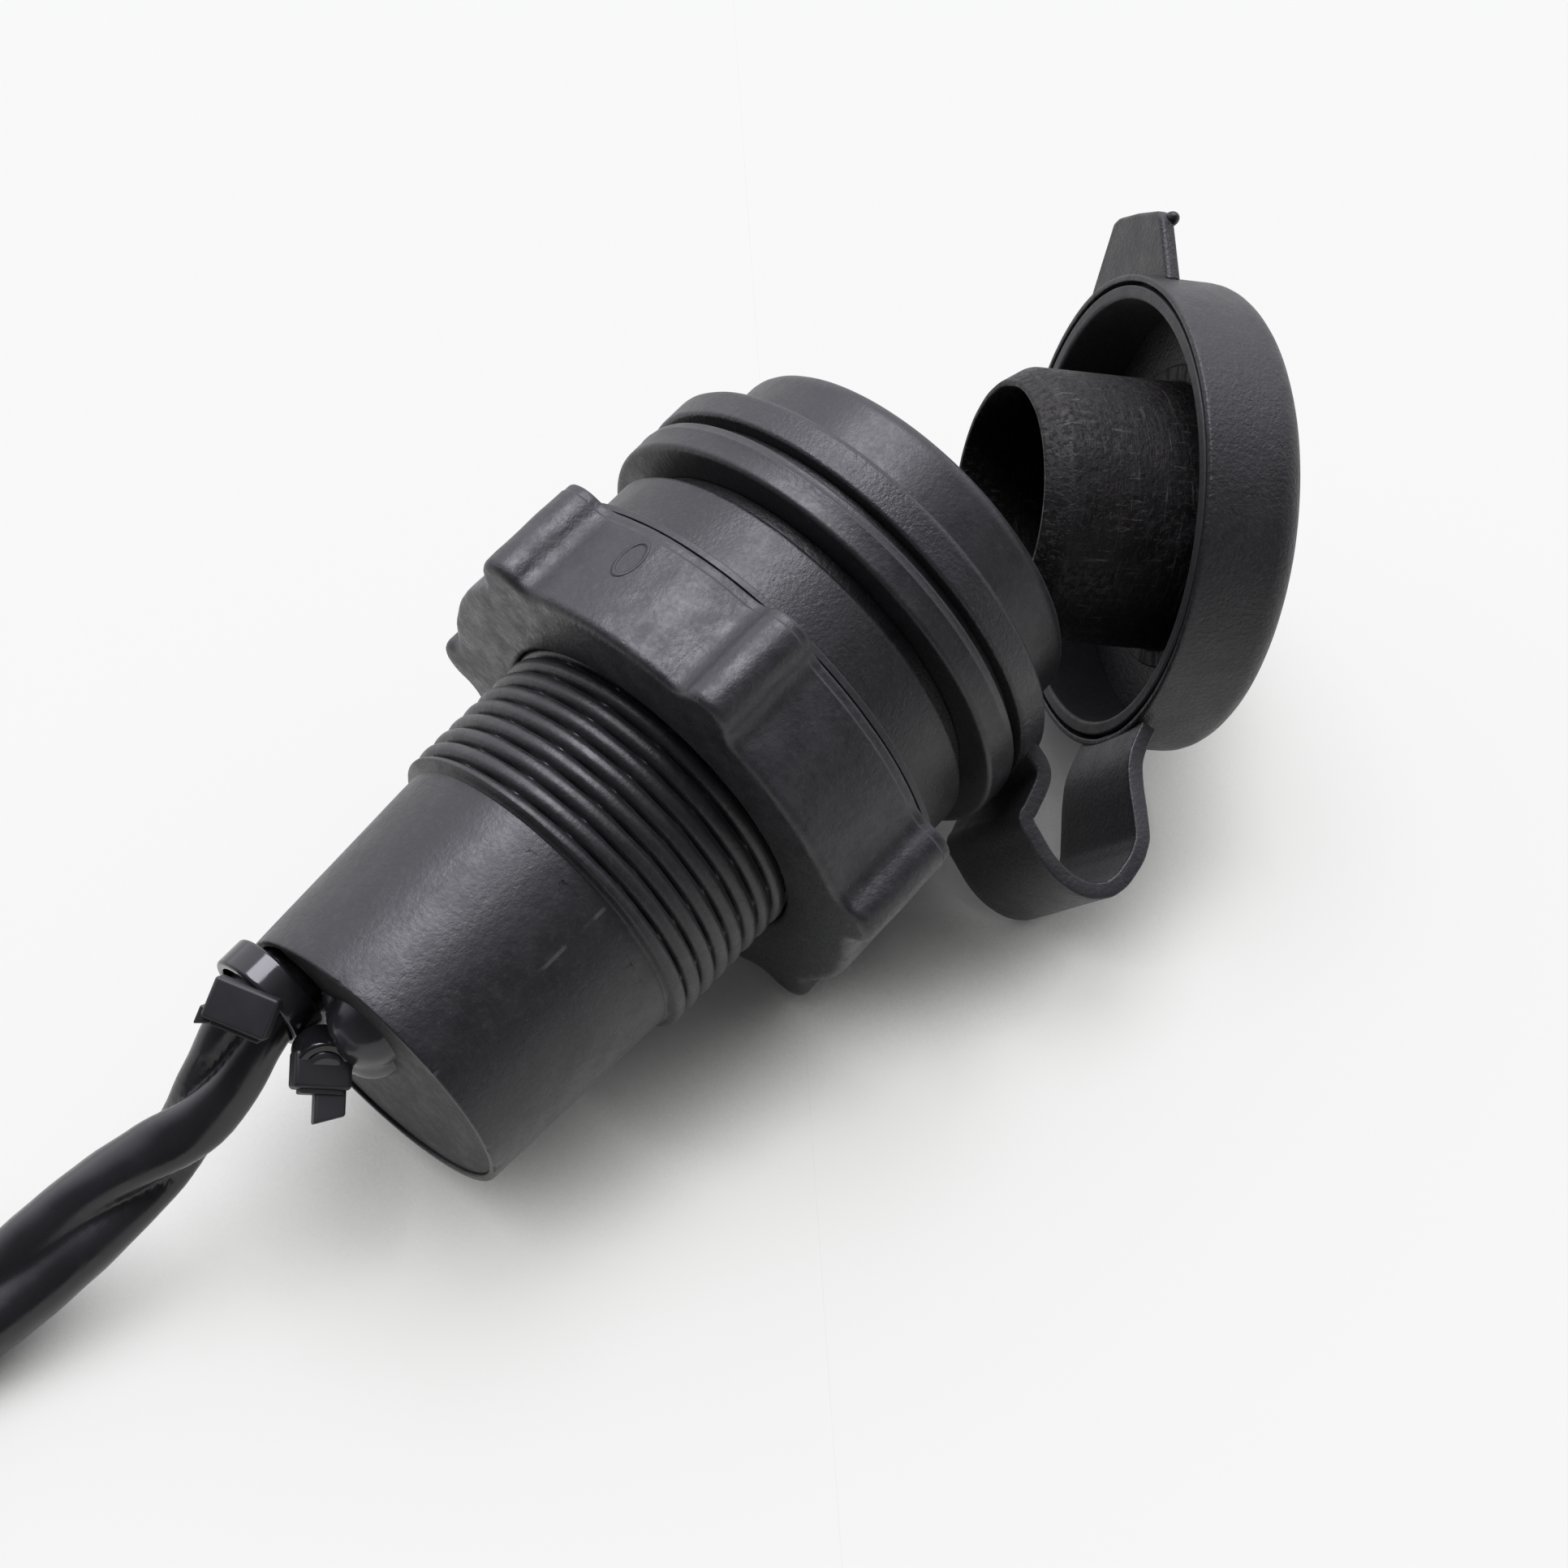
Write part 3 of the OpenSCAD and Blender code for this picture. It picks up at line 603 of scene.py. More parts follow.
# Lead: its route as in the CAD source, then a coil
LEAD_R = 3.2
LEAD_STEP = 0.9
LEAD_SIDES = 56
ROUTE = [
    (-41.8, 10.6, 20.8), (-45.2, 11.3, 20.4), (-48.2, 11.4, 18.4), (-51, 11.4, 15.6), (-54.2, 11.6, 13.2),
    (-58.6, 12.6, 10.8), (-62.6, 13.6, 9), (-66.6, 14.6, 7), (-71.2, 15.7, 4.9), (-75.6, 16.8, 3.6),
    (-80, 18.3, 3.3), (-84.2, 20.5, 3.2), (-88, 23.3, 3.2), (-91, 26.3, 3.2), (-95.4, 31.4, 3.2),
    (-99.7, 36.4, 3.2), (-104.1, 41.5, 3.2),
]
COIL_AT = (-133, 16.5)
OUTER_R = 38.2
INNER_R = 31.8
TOP_Z = 3 * LEAD_R + 0.05
COIL_START_DEG = 40.8
COIL_DEG = 720 + 49.2
COIL_STEPS = 170
SLIDE_IN_DEG = (296, 356)
RISE_DEG = (598, 655)
# From here on the two wires twist evenly, once in every so many millimetres
TWIST_FROM = 29
TWIST_RUN = 95


def coil_points():
    """The outer turn slides in to become the inner one, which rises and ends on top of itself."""
    out = []
    for i in range(1, COIL_STEPS + 1):
        t = COIL_DEG * i / COIL_STEPS
        r = OUTER_R - (OUTER_R - INNER_R) * smoothstep(*SLIDE_IN_DEG, t)
        z = LEAD_R + (TOP_Z - LEAD_R) * smoothstep(*RISE_DEG, t)
        a = math.radians(COIL_START_DEG + t)
        out.append((COIL_AT[0] + r * math.cos(a), COIL_AT[1] + r * math.sin(a), z))
    return out


def side_directions(line):
    """Two steady directions across a line at each of its points: a level one, and one square to it."""
    along = np.gradient(line, axis=0)
    along /= np.linalg.norm(along, axis=1)[:, None]
    level = np.cross(along, [0, 0, 1.0])
    level /= np.linalg.norm(level, axis=1)[:, None]
    return level, np.cross(level, along)


def lead_form(at):
    """The oval's turn, flatness and size, and the depth of its crease, at a distance from the outlet."""
    turn = 3.7 - math.pi * smoothstep(3, TWIST_FROM, at)
    turn -= max(0, at - TWIST_FROM) * math.tau / TWIST_RUN
    flat = 0.13 + 0.1 * smoothstep(17, 27, at) + 0.03 * math.sin(at / 9.0 + 1) * smoothstep(30, 50, at)
    size = 0.87 + 0.12 * smoothstep(11, 27, at) + 0.02 * math.sin(at / 6.1)
    size += 0.012 * math.sin(at / 2.3 + 0.7)
    crease = (1 - 0.65 * smoothstep(16, 30, at) + 0.2 * math.sin(at / 17 + 1.2)) * smoothstep(1, 6, at)
    return turn, flat, size, crease


def lead_mesh():
    """Two twisted wires in a shrunk sleeve: an oval that turns as it goes, dented between the wires."""
    level, square = side_directions(lead_line)
    verts = []
    for i, (p, at) in enumerate(zip(lead_line, lead_at)):
        turn, flat, size, crease = lead_form(at)
        for k in range(LEAD_SIDES):
            a = math.tau * k / LEAD_SIDES
            off = a - turn
            r = LEAD_R * size * (1 + flat * math.cos(2 * off) - 0.035 * math.cos(4 * off))
            r -= 0.7 * crease * math.exp(-((math.cos(off) / 0.34) ** 2))
            r += 0.09 * noise.noise(Vector(p * 0.35) + Vector((math.cos(a), math.sin(a), 0)))
            q = p + r * (math.cos(a) * level[i] + math.sin(a) * square[i])
            verts.append((q[0], q[1], max(q[2], 0.02)))
    return link("lead", verts, tube_faces(len(lead_line), LEAD_SIDES, True), sleeve_black, None, 60)


lead_line, lead_at = even(spline(ROUTE, 8)[:-1] + spline([ROUTE[-1]] + coil_points(), 3), LEAD_STEP)
lead = lead_mesh()
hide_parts("lead_sleeve", "lead_coil", "lead_tail")

# Connector on the lead's far end
LEAD_END = (
    Matrix.Translation((COIL_AT[0], COIL_AT[1] + INNER_R, TOP_Z))
    @ Matrix.Rotation(math.radians(-90), 4, "Y")
    @ Matrix.Rotation(math.radians(90), 4, "Z")
)
BOOT_RIBS = 3
BOOT_RIB_STEP = 2.4
BOOT_GROOVE_R = 2.6
BOOT_LENGTH = 8.2
SHELL_AT = LEAD_END @ Matrix.Translation((0, 0, 8))
SHELL_W = 15.0
SHELL_H = 6.4
SHELL_LENGTH = 24.0
GRIPS = 5
GRIP_STEP = 1.6
PIN_SIDE = 3


def strain_relief():
    line = [(0, 0), (LEAD_R - 0.1, 0)]
    for i in range(BOOT_RIBS):
        z = BOOT_RIB_STEP * i
        line += [(LEAD_R, z + 0.1), (LEAD_R, z + 1.2), (BOOT_GROOVE_R, z + 1.35), (BOOT_GROOVE_R, z + 2.25)]
    line += [(LEAD_R, 7.3), (LEAD_R, BOOT_LENGTH), (0, BOOT_LENGTH)]
    return lathe("strain_relief", rounded(line, 0.2, closed=False), connector_black, LEAD_END, 64, False)


def shell_row(from_side, from_top, z, r=0.7):
    """Points round the connector's shell, at distances inside its full size, with corners of radius r."""
    x = SHELL_W / 2 - from_side - r
    y = SHELL_H / 2 - from_top - r
    out = []
    for corner_x, corner_y, start in ((x, y, 0), (-x, y, 90), (-x, -y, 180), (x, -y, 270)):
        for step in range(5):
            a = math.radians(start + 22.5 * step)
            out.append((corner_x + r * math.cos(a), corner_y + r * math.sin(a), z))
    return out


def connector():
    """A two-way plug shell with grip ribs, a latch and an open mating face."""
    neck = [(2.2, 0.9, 0.0, 0.6), (1.9, 0.6, 0.25, 0.6), (1.7, 0.5, 1.2), (0.6, 0.25, 3.0), (0.5, 0.2, 3.4)]
    grips = []
    for i in range(GRIPS):
        z = 4.0 + GRIP_STEP * i
        grips += [(0.5, 0.2, z), (0.1, 0.02, z + 0.25), (0.1, 0.02, z + 0.75), (0.5, 0.2, z + 1.0)]
    z = SHELL_LENGTH
    outside = [(0.5, 0.2, 11.6), (0, 0, 12.0), (0, 0, 12.3), (0, 0, z - 0.5), (0.05, 0.05, z - 0.15)]
    mouth = [(0.2, 0.2, z), (0.85, 0.85, z, 0.4), (1, 1, z - 0.2, 0.4)]
    inside = [(1, 1, 12.4, 0.4), (1.4, 1.4, 12.1, 0.3)]
    rows = [shell_row(*row) for row in neck + grips + outside + mouth + inside]
    verts = [p for row in rows for p in row]
    shell = link("shell", verts, tube_faces(len(rows), len(rows[0])), connector_black, SHELL_AT, 40)
    latch_at = SHELL_AT @ Matrix.Translation((0, SHELL_H / 2 + 0.1, 17.5))
    catch_at = SHELL_AT @ Matrix.Translation((0, SHELL_H / 2 + 0.5, 20.6))
    latch = box_piece("latch", (4.4, 0.8, 9.0), connector_black, latch_at)
    catch = box_piece("catch", (4.4, 1.1, 1.4), connector_black, catch_at, 0.3)
    return joined("connector_shell", [shell, latch, catch])


def contacts():
    """The two pins inside the connector's shell."""
    line = rounded([(0, 0), (1, 0), (1, 8), (0.45, 9), (0, 9)], 0.2, closed=False)
    pins = []
    for side in (-PIN_SIDE, PIN_SIDE):
        pins.append(lathe("pin", line, steel, LEAD_END @ Matrix.Translation((side, 0, 20)), 48, False))
    return joined("connector_contacts", pins)


boot, plug_shell, plug_pins = strain_relief(), connector(), contacts()
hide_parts("connector_boot")
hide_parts("connector_body")
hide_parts("connector_pins")
for piece in (lead, boot, plug_shell, plug_pins):
    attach(piece, "socket")

# Housing
THREAD_STEP = 0.1
DENT_STEP = 0.45
SEAM_OUT = 0.045
SEAM_IN = 0.03


def thread_shift(r, a, z):
    """Rounded ridges on a helix, which fade in at the rear end of the thread."""
    on_thread = Z_THREAD + 0.01 < z < Z_COLLAR - 0.01 and ROOT_R - 0.05 <= r <= THREAD_R + 0.01
    if not on_thread:
        return r, z
    turn = (a + 1.2) / math.tau % 1.0
    turns_up = (z - Z_THREAD) / PITCH - turn
    ridge = max(0.0, 1 - abs(2 * (turns_up % 1.0) - 1) ** 2.6) ** 0.6
    fade = smoothstep(0, 0.55, z - Z_THREAD) * smoothstep(0.0, 0.3, turns_up + 1)
    rise = (THREAD_R - ROOT_R) * ridge * fade
    return ROOT_R + rise * (1 + 0.02 * noise.noise(Vector((a * 6, z * 1.5, 0)))), z


def barrel_shift(r, a, z):
    """Shallow dents on the plain barrel, and small chips on its rear edge."""
    r += 0.025 * noise.noise(Vector((math.cos(a) * 2.2, math.sin(a) * 2.2, z * 0.16)))
    chip = noise.noise(Vector((math.cos(a) * 9, math.sin(a) * 9, 3.1))) - 0.35
    if z < 0.35 and chip > 0:
        r -= 0.3 * chip
        z += 0.5 * chip
    return r, z


def housing():
    """The socket's moulding. Extra loops carry its thread and the barrel's dents."""
    rear = [(COVER_SEAT_R, Z_COVER, 0.05), (COVER_SEAT_R, 0, 0.15), (REAR_R, 0, 0.2),
            (BARREL_R, Z_THREAD, 0.03), (ROOT_R, Z_THREAD + 0.02, 0)]
    seam = [(FLANGE_R, Z_SEAM, 0), (FLANGE_R + SEAM_OUT, Z_SEAM + 0.12, 0),
            (FLANGE_R + SEAM_OUT, Z_SEAM + 0.2, 0), (FLANGE_R - SEAM_IN, Z_SEAM + 0.3, 0)]
    front = [(ROOT_R, Z_COLLAR, 0), (THREAD_R, Z_COLLAR, 0), (THREAD_R, Z_FLANGE, 0.05),
             (FLANGE_R, Z_FLANGE, 0.45)] + seam
    front += [(FLANGE_R - SEAM_IN, Z_GROOVE, 0.6), (GROOVE_R, Z_GROOVE, 0.1), (GROOVE_R, Z_RING, 0.05),
              (NECK_R, Z_RING, 0.1), (NECK_R, Z_LIP, 1.2)]
    inside = [(LIP_BORE_R, Z_LIP, 0.7), (RELIEF_R, Z_RELIEF, 0.8), (RELIEF_R, Z_SHELL_TOP, 0.1),
              (SHELL_SEAT_R, Z_SHELL_TOP, 0.05), (SHELL_SEAT_R, Z_CHAMBER, 0.05),
              (REAR_BORE_R, Z_CHAMBER, 0.1), (REAR_BORE_R, Z_COVER, 0.1)]
    line = rounded(rear + front + inside, steps=5)
    root = next(i for i, p in enumerate(line) if abs(p[0] - ROOT_R) < TINY and p[1] < Z_THREAD + 0.1)
    steps = round((Z_COLLAR - Z_THREAD) / THREAD_STEP)
    thread = [(ROOT_R, Z_THREAD + THREAD_STEP * i) for i in range(1, steps)]
    line = line[: root + 1] + thread + line[root + 1 :]
    rim = next(i for i, p in enumerate(line) if p[0] > 12.3 and p[1] > 0.15)
    dents = [(12.36 + 0.042 * z, z) for z in np.arange(0.8, 17, DENT_STEP) if z > line[rim][1] + 0.3]
    line = line[: rim + 1] + dents + line[rim + 1 :]

    def shift(r, a, z):
        r, z = thread_shift(r, a, z)
        return barrel_shift(r, a, z) if r > 12.2 and z < Z_THREAD else (r, z)

    return lathe("socket_body", line, black, shift=shift, sharp=42)


body = housing()
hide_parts("housing")
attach(body, "socket")

# Collar and washer
COLLAR_R = 18
COLLAR_NECK_R = 16.5
COLLAR_BORE_R = 14.05
COLLAR_TOP = Z_COLLAR + 5.75
WASHER_R = 20.3
WASHER_Z = 39.8
WASHER_T = 0.6
NUT_BORE_R = 14.15

collar_line = rounded([
    (COLLAR_BORE_R, Z_COLLAR, 0.1), (COLLAR_R, Z_COLLAR, 0.35), (COLLAR_R, COLLAR_TOP, 0.4),
    (COLLAR_NECK_R, COLLAR_TOP, 0.15), (COLLAR_NECK_R, Z_FLANGE, 0.1), (COLLAR_BORE_R, Z_FLANGE, 0.1),
])
collar = lathe("collar", collar_line, collar_black, shift=soft_noise(0.02, 0.3))
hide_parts("sealing_collar")
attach(collar, "socket")

washer_line = ring_line(NUT_BORE_R, WASHER_R, WASHER_Z, WASHER_Z + WASHER_T, (0.08, 0.06, 0.1, 0.08))
washer = lathe("thrust_washer", washer_line, washer_black)
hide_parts("slip_washer")
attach(washer, "washer")

# Nut
NUT_R = 20.5
NUT_Z = 30.1
NUT_T = 9.6
LOBES = 6
LOBE_R = 2.4
LOBE_FILLET = 2.0
LOBE_AT = NUT_R - 0.1
LOBE_TURN_DEG = 21.7
GATE_ANGLE = -2.35
GATE_Z = 36.6
GATE_HALF = (0.95, 1.75)


def nut_outline():
    """Points and outward normals round the nut: each lobe, its two fillets and the round part after it."""
    far, reach = NUT_R + LOBE_FILLET, LOBE_R + LOBE_FILLET
    turn = math.acos((far**2 + LOBE_AT**2 - reach**2) / (2 * far * LOBE_AT))
    fillet = Vector((far * math.cos(turn), far * math.sin(turn)))
    to_lobe = math.atan2(-fillet.y, LOBE_AT - fillet.x)
    pts = []

    def arc(x, y, r, start, end, steps, sign):
        for i in range(steps):
            t = start + (end - start) * i / steps
            c, s = math.cos(t), math.sin(t)
            pts.append(((x + r * c, y + r * s), (sign * c, sign * s)))

    arc(fillet.x, -fillet.y, LOBE_FILLET, math.pi - turn, -to_lobe, 8, -1)
    arc(LOBE_AT, 0, LOBE_R, -math.pi - to_lobe, math.pi + to_lobe, 18, 1)
    arc(fillet.x, fillet.y, LOBE_FILLET, to_lobe, turn - math.pi, 8, -1)
    arc(0, 0, NUT_R, turn, math.tau / LOBES - turn, 30, 1)
    out = []
    for i in range(LOBES):
        turned = Matrix.Rotation(math.radians(LOBE_TURN_DEG) + i * math.tau / LOBES, 2)
        out += [(turned @ Vector(p), turned @ Vector(q)) for p, q in pts]
    return out


def nut():
    """The nut: rows round its outline with rounded edges, then rings over its faces and bore."""
    outline = nut_outline()
    rear_edge = [(1.05, 0.0), (0.7, 0.0), (0.42, 0.06), (0.2, 0.2), (0.06, 0.42), (0.0, 0.7)]
    side = [(0.0, 0.85 + 0.42 * i) for i in range(18)]
    front_edge = [(0.0, 8.62), (0.0, 8.72), (0.08, 8.8), (0.1, 8.9), (0.1, 9.2), (0.12, 9.46), (0.17, 9.56),
                  (0.26, NUT_T), (0.6, NUT_T), (1.15, NUT_T)]
    verts = []
    for inset, z in rear_edge + side + front_edge:
        for p, outward in outline:
            v = p - outward * inset
            wave = 0.075 * noise.noise(Vector((v.x * 0.42, v.y * 0.42, z * 0.3)))
            wave += 0.02 * noise.noise(Vector((v.x * 1.6, v.y * 1.6, z * 1.3)))
            v = v + outward * wave
            verts.append((v.x, v.y, z))
    for r, z in ((16.6, NUT_T), (14.6, NUT_T), (14.3, 9.5), (NUT_BORE_R, 9.3), (NUT_BORE_R, 5),
                 (NUT_BORE_R, 0.3), (14.3, 0.1), (14.6, 0.0), (16.6, 0.0)):
        for p, _ in outline:
            a = math.atan2(p.y, p.x)
            verts.append((r * math.cos(a), r * math.sin(a), z))
    count = len(outline)
    rows = len(verts) // count
    faces = []
    for i in range(rows):
        a, b = i * count, (i + 1) % rows * count
        faces += [(a + k, a + (k + 1) % count, b + (k + 1) % count, b + k) for k in range(count)]
    return link("ring_nut", verts, faces, nut_black, LAID @ Matrix.Translation((0, 0, NUT_Z)), 55)


def nut_marks(graph, colour, roughness):
    """Leathery flow marks, worn spots and the oval gate mark."""
    angle, _, z = around(graph, graph.local(LAID))
    skin = graph.noise(1500, 5, 0.7)
    blotch = graph.noise(520, 5, 0.7)
    roughness = graph.plus(roughness, graph.span(blotch, 0.35, 0.68, 0.08, -0.06), clamp=True)
    across = graph.math("DIVIDE", graph.times(graph.minus(angle, GATE_ANGLE), NUT_R), GATE_HALF[0])
    along = graph.math("DIVIDE", graph.minus(z, GATE_Z), GATE_HALF[1])
    spot = graph.length(graph.vector(across, along, 0.0))
    ring = graph.times(graph.span(spot, 0.78, 0.94), graph.span(spot, 1.0, 1.16, 1, 0))
    dish = graph.span(spot, 0.7, 0.9)
    rub = graph.times(graph.span(graph.noise(240, 5, 0.7), 0.55, 0.75), 0.35)
    layers = [(skin, 0.8, 0.065), (blotch, 0.6, 0.07), (ring, 0.8, 0.14), (dish, 0.4, 0.06)]
    return graph.mix(rub, colour, (0.055, 0.055, 0.06)), roughness, layers


nut_black = plastic("nut_black", (0.012, 0.0122, 0.0138), (0.021, 0.0213, 0.024), (0.34, 0.47),
                    grain_depth=0.01, dust=0.4, extra=nut_marks)
ring_nut = nut()
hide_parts("mounting_nut")
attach(ring_nut, "nut")

# Cap with its ring, tab, liner and plug
RING_BORE_R = 16.75
RING_R = 19.6
CAP_R = 19.25
CAP_RIM_BORE_R = 18.7
CAP_BORE_R = 18.4
Z_CAP_STEP = 59.5
LINER_R = 18.35
LINER_BORE_R = 17.25
TAB = [(-17.4, -7.9), (-17.4, 7.6), (-20.2, 7.5), (-25.5, 2.5), (-25.6, 1.5), (-24.9, -2.1), (-23.9, -5.9),
       (-23.1, -6.7)]
Z_TAB = (57.5, 58.8)
BEAD_AT = (-23.2, -6.2, 58.1)
BEAD_R = 0.6
PLUG_R = 11
PLUG_TIP_R = 9.75
PLUG_BORE_R = 9.3
PLUG_ROOT_R = 12.5
Z_PLUG_TIP = Z_RIM - 9.5
Z_PLUG_ROOT = 60.9

ring = lathe("retaining_ring", ring_line(RING_BORE_R, RING_R, Z_RING, Z_RING_TOP, (0.1, 0.35, 0.55, 0.35)),
             rubber_flat, shift=soft_noise(0.03, 0.25))
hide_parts("cap_ring")
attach(ring, "socket")


def cap_moulding():
    """The cap's skirt and back, with extra loops on its long stretches."""
    corners = rounded([
        (0, Z_BACK, 0), (CAP_R, Z_BACK, 2.2), (CAP_R, Z_RIM, 0.3), (CAP_RIM_BORE_R, Z_RIM, 0.15),
        (CAP_RIM_BORE_R, Z_CAP_STEP, 0.1), (CAP_BORE_R, Z_CAP_STEP, 0.1), (CAP_BORE_R, Z_CEILING, 0.2),
        (0, Z_CEILING, 0),
    ], steps=7, closed=False)
    line = []
    for p, q in zip(corners, corners[1:]):
        gap = math.dist(p, q)
        cuts = int(gap / 0.6) if gap > 1.2 and min(p[0], q[0]) > 10 else 1
        line += [(p[0] + (q[0] - p[0]) * i / cuts, p[1] + (q[1] - p[1]) * i / cuts) for i in range(cuts)]
    line.append(corners[-1])
    return lathe("cap_moulding", line, rubber, CAP, closed=False, shift=soft_noise(0.05, 0.13))


def tab():
    """The pull tab, with rounded edges and a small curled bead at one corner."""
    count = len(TAB)
    verts = [(x, y, z) for z in Z_TAB for x, y in TAB]
    faces = [tuple(range(count))[::-1], tuple(range(count, 2 * count))]
    faces += [(i, (i + 1) % count, count + (i + 1) % count, count + i) for i in range(count)]
    plate = link("plate", verts, faces, rubber, CAP, 0)
    bevel(plate, 0.42, 5)
    turns = [math.pi * i / 16 for i in range(16)]
    line = [(BEAD_R * math.sin(t), BEAD_R - BEAD_R * math.cos(t)) for t in turns] + [(0, 2 * BEAD_R)]
    bead_at = CAP @ Matrix.Translation(BEAD_AT) @ Matrix.Diagonal((1, 1.7, 1, 1))
    return [plate, lathe("bead", line, rubber, bead_at, 40, False)]


cap = joined("cap_moulding", [cap_moulding()] + tab())
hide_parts("cap_shell")
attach(cap, "cap")

liner = lathe("cap_seal", ring_line(LINER_BORE_R, LINER_R, Z_RIM, Z_CEILING, (0.3, 0.15, 0.05, 0.05)),
              liner_black, CAP)
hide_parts("cap_liner")
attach(liner, "cap")

plug_line = rounded([
    (PLUG_BORE_R, Z_PLUG_TIP, 0.15), (PLUG_TIP_R, Z_PLUG_TIP, 0.25), (PLUG_R, Z_PLUG_TIP + 2, 0.9),
    (PLUG_R, Z_PLUG_ROOT, 0.3), (PLUG_ROOT_R, Z_PLUG_ROOT, 0.2), (PLUG_ROOT_R, Z_CEILING, 0.05),
    (PLUG_BORE_R, Z_CEILING, 0.05),
], steps=6)
plug = lathe("cap_plug_tube", plug_line, plug_black, CAP, shift=soft_noise(0.05, 0.5))
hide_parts("cap_plug")
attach(plug, "cap")

# Strap: points of its middle line from the pivot, in the socket's frame and in the open cap's
RING_LEG = [(-10.4, -0.3), (-8.2, -1), (-7.1, -3.7), (-6.8, -4.7), (-5.2, -5.2), (-3.4, -5.6), (-1.8, -5.65),
            (-0.2, -5.3), (0.9, -4.7), (1.75, -3.7), (2.02, -2.9)]
BEND = [(2.1, -1.9), (1.8, -0.1), (1.4, 0.9), (0.95, 1.68)]
CAP_LEG = [(-2.5, 1.8), (-4.6, 1.7), (-6.5, 1.8), (-8.0, 2.3), (-9.6, 3.1)]
STRAP_HALF_W = 7.6
STRAP_HALF_T = 0.66
STRAP_EDGE_R = 0.2


def strap_section():
    """Points round the band's section: rounded edges, and loops across its two broad faces."""
    across, up = STRAP_HALF_W - STRAP_EDGE_R, STRAP_HALF_T - STRAP_EDGE_R
    out = []
    for side in (1, -1):
        for y, z, start in ((side * across, side * up, 0), (-side * across, side * up, 90)):
            for i in range(5):
                a = math.radians(start + 22.5 * i + (0 if side > 0 else 180))
                out.append((y + STRAP_EDGE_R * math.cos(a), z + STRAP_EDGE_R * math.sin(a)))
            if start == 0:
                out += [(side * across * (1 - 2 * i / 14), side * STRAP_HALF_T) for i in range(1, 14)]
    return out


def strap():
    """One smooth band from the ring round the bend to the cap."""
    c, s = math.cos(OPEN), math.sin(OPEN)
    points = RING_LEG + BEND + [(x * c + z * s, -x * s + z * c) for x, z in CAP_LEG]
    line, _ = even(spline([(x, z, 0) for x, z in points], 8), 0.3)
    along = np.gradient(line[:, :2], axis=0)
    along /= np.linalg.norm(along, axis=1)[:, None]
    section = strap_section()
    verts = []
    for i, p in enumerate(line):
        slim = 1 - 0.2 * smoothstep(0.62, 0.97, i / len(line))
        for wide, deep in section:
            y = wide * slim
            depth = deep * (1 + 0.05 * noise.noise(Vector((y * 0.3, i * 0.05, 2))))
            verts.append((PIVOT_R + p[0] - along[i, 1] * depth, y, PIVOT_Z + p[1] + along[i, 0] * depth))
    piece = link("strap", verts, tube_faces(len(line), len(section)), rubber_strap, LAID, 60)
    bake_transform(piece)
    return piece


band = strap()
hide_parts("strap_bend")

# Ties and adhesive: places from the middle of the end cover
UPPER_BAND_AT = (-9.1, 0, -1.9)
UPPER_HEAD_AT = (-9.9, -3.6, -4.8)
LOWER_BAND_AT = (-3.2, -2.6, -2.95)
LOWER_HEAD_AT = (-3.95, -2.8, -2.3)
TIE_WIDTH = 2.6
BEADS = [((-3.9, -1.6), 3.4), ((-2.6, -4.6), 3.2), ((-2.4, 1), 3.2), ((-1.4, -2), 3)]
BEAD_STEPS = 84
BEAD_BLEND = 2.2
LEAD_HOLE_X = -8
LEAD_HOLE_R = 3.45


def moved(place, *shift):
    return place @ Matrix.Translation(shift)


def turned_by(degrees, axis):
    return Matrix.Rotation(math.radians(degrees), 4, axis)


def hoop(inner, thick, place, seg):
    """A cable tie's band: a hoop with soft edges."""
    line = ring_line(inner, inner + thick, -TIE_WIDTH / 2, TIE_WIDTH / 2, (0.12, 0.25, 0.25, 0.12))
    return lathe("band", line, tie_black, place, seg)


def tie_upper():
    """The tie round the lead, with its head turned to the camera."""
    across, out = Vector((0.9, -0.246, 0.357)).normalized(), Vector((-0.32, -0.28, 0.9))
    up = out.cross(across).normalized()
    facing = Matrix((across, up, across.cross(up))).transposed().to_4x4()
    at = moved(LAID, *UPPER_HEAD_AT) @ facing
    pieces = [
        hoop(3.55, 0.7, moved(LAID, *UPPER_BAND_AT), 96),
        box_piece("head", (5.0, 2.7, 3.2), tie_matt, at, 0.3),
        box_piece("lip", (3.8, 2.0, 0.5), tie_matt, moved(at, 0.2, 0.1, -1.7), 0.15),
        box_piece("tail", (1.3, 1.6, 1.2), tie_matt, moved(at, -2.2, 0.2, -1.5), 0.15,
                  lambda x, y, z: (x, y, z + (0.4 * x if z < 0 else 0))),
    ]
    return joined("tie_upper", pieces)


def tie_lower():
    """The small tie set in the adhesive, round one strand."""
    turn = turned_by(-43, "Y") @ turned_by(90, "X")
    base = moved(LAID, *LOWER_BAND_AT) @ turn @ turned_by(40, "X")
    front = moved(LAID, *LOWER_HEAD_AT) @ turn
    strand_line = rounded([(0, -1.5), (1.42, -1.5), (1.42, 1.5), (0, 1.5)], 0.5, closed=False)
    pieces = [
        hoop(1.4, 0.75, base, 72),
        lathe("strand", strand_line, glue, base, 48, False),
        box_piece("head", (4.3, 2.8, 2.4), tie_matt, moved(front, 0, -2, 0), 0.35),
        box_piece("lip", (3.2, 0.5, 1.8), tie_matt, moved(front, 0, -3.5, 0), 0.15),
        box_piece("tail", (2.3, 2.6, 1.4), tie_matt, moved(front, 0.7, -4.3, 0), 0.2,
                  lambda x, y, z: (x, y + (0.3 * x if y < 0 else 0), z)),
    ]
    return joined("tie_lower", pieces)


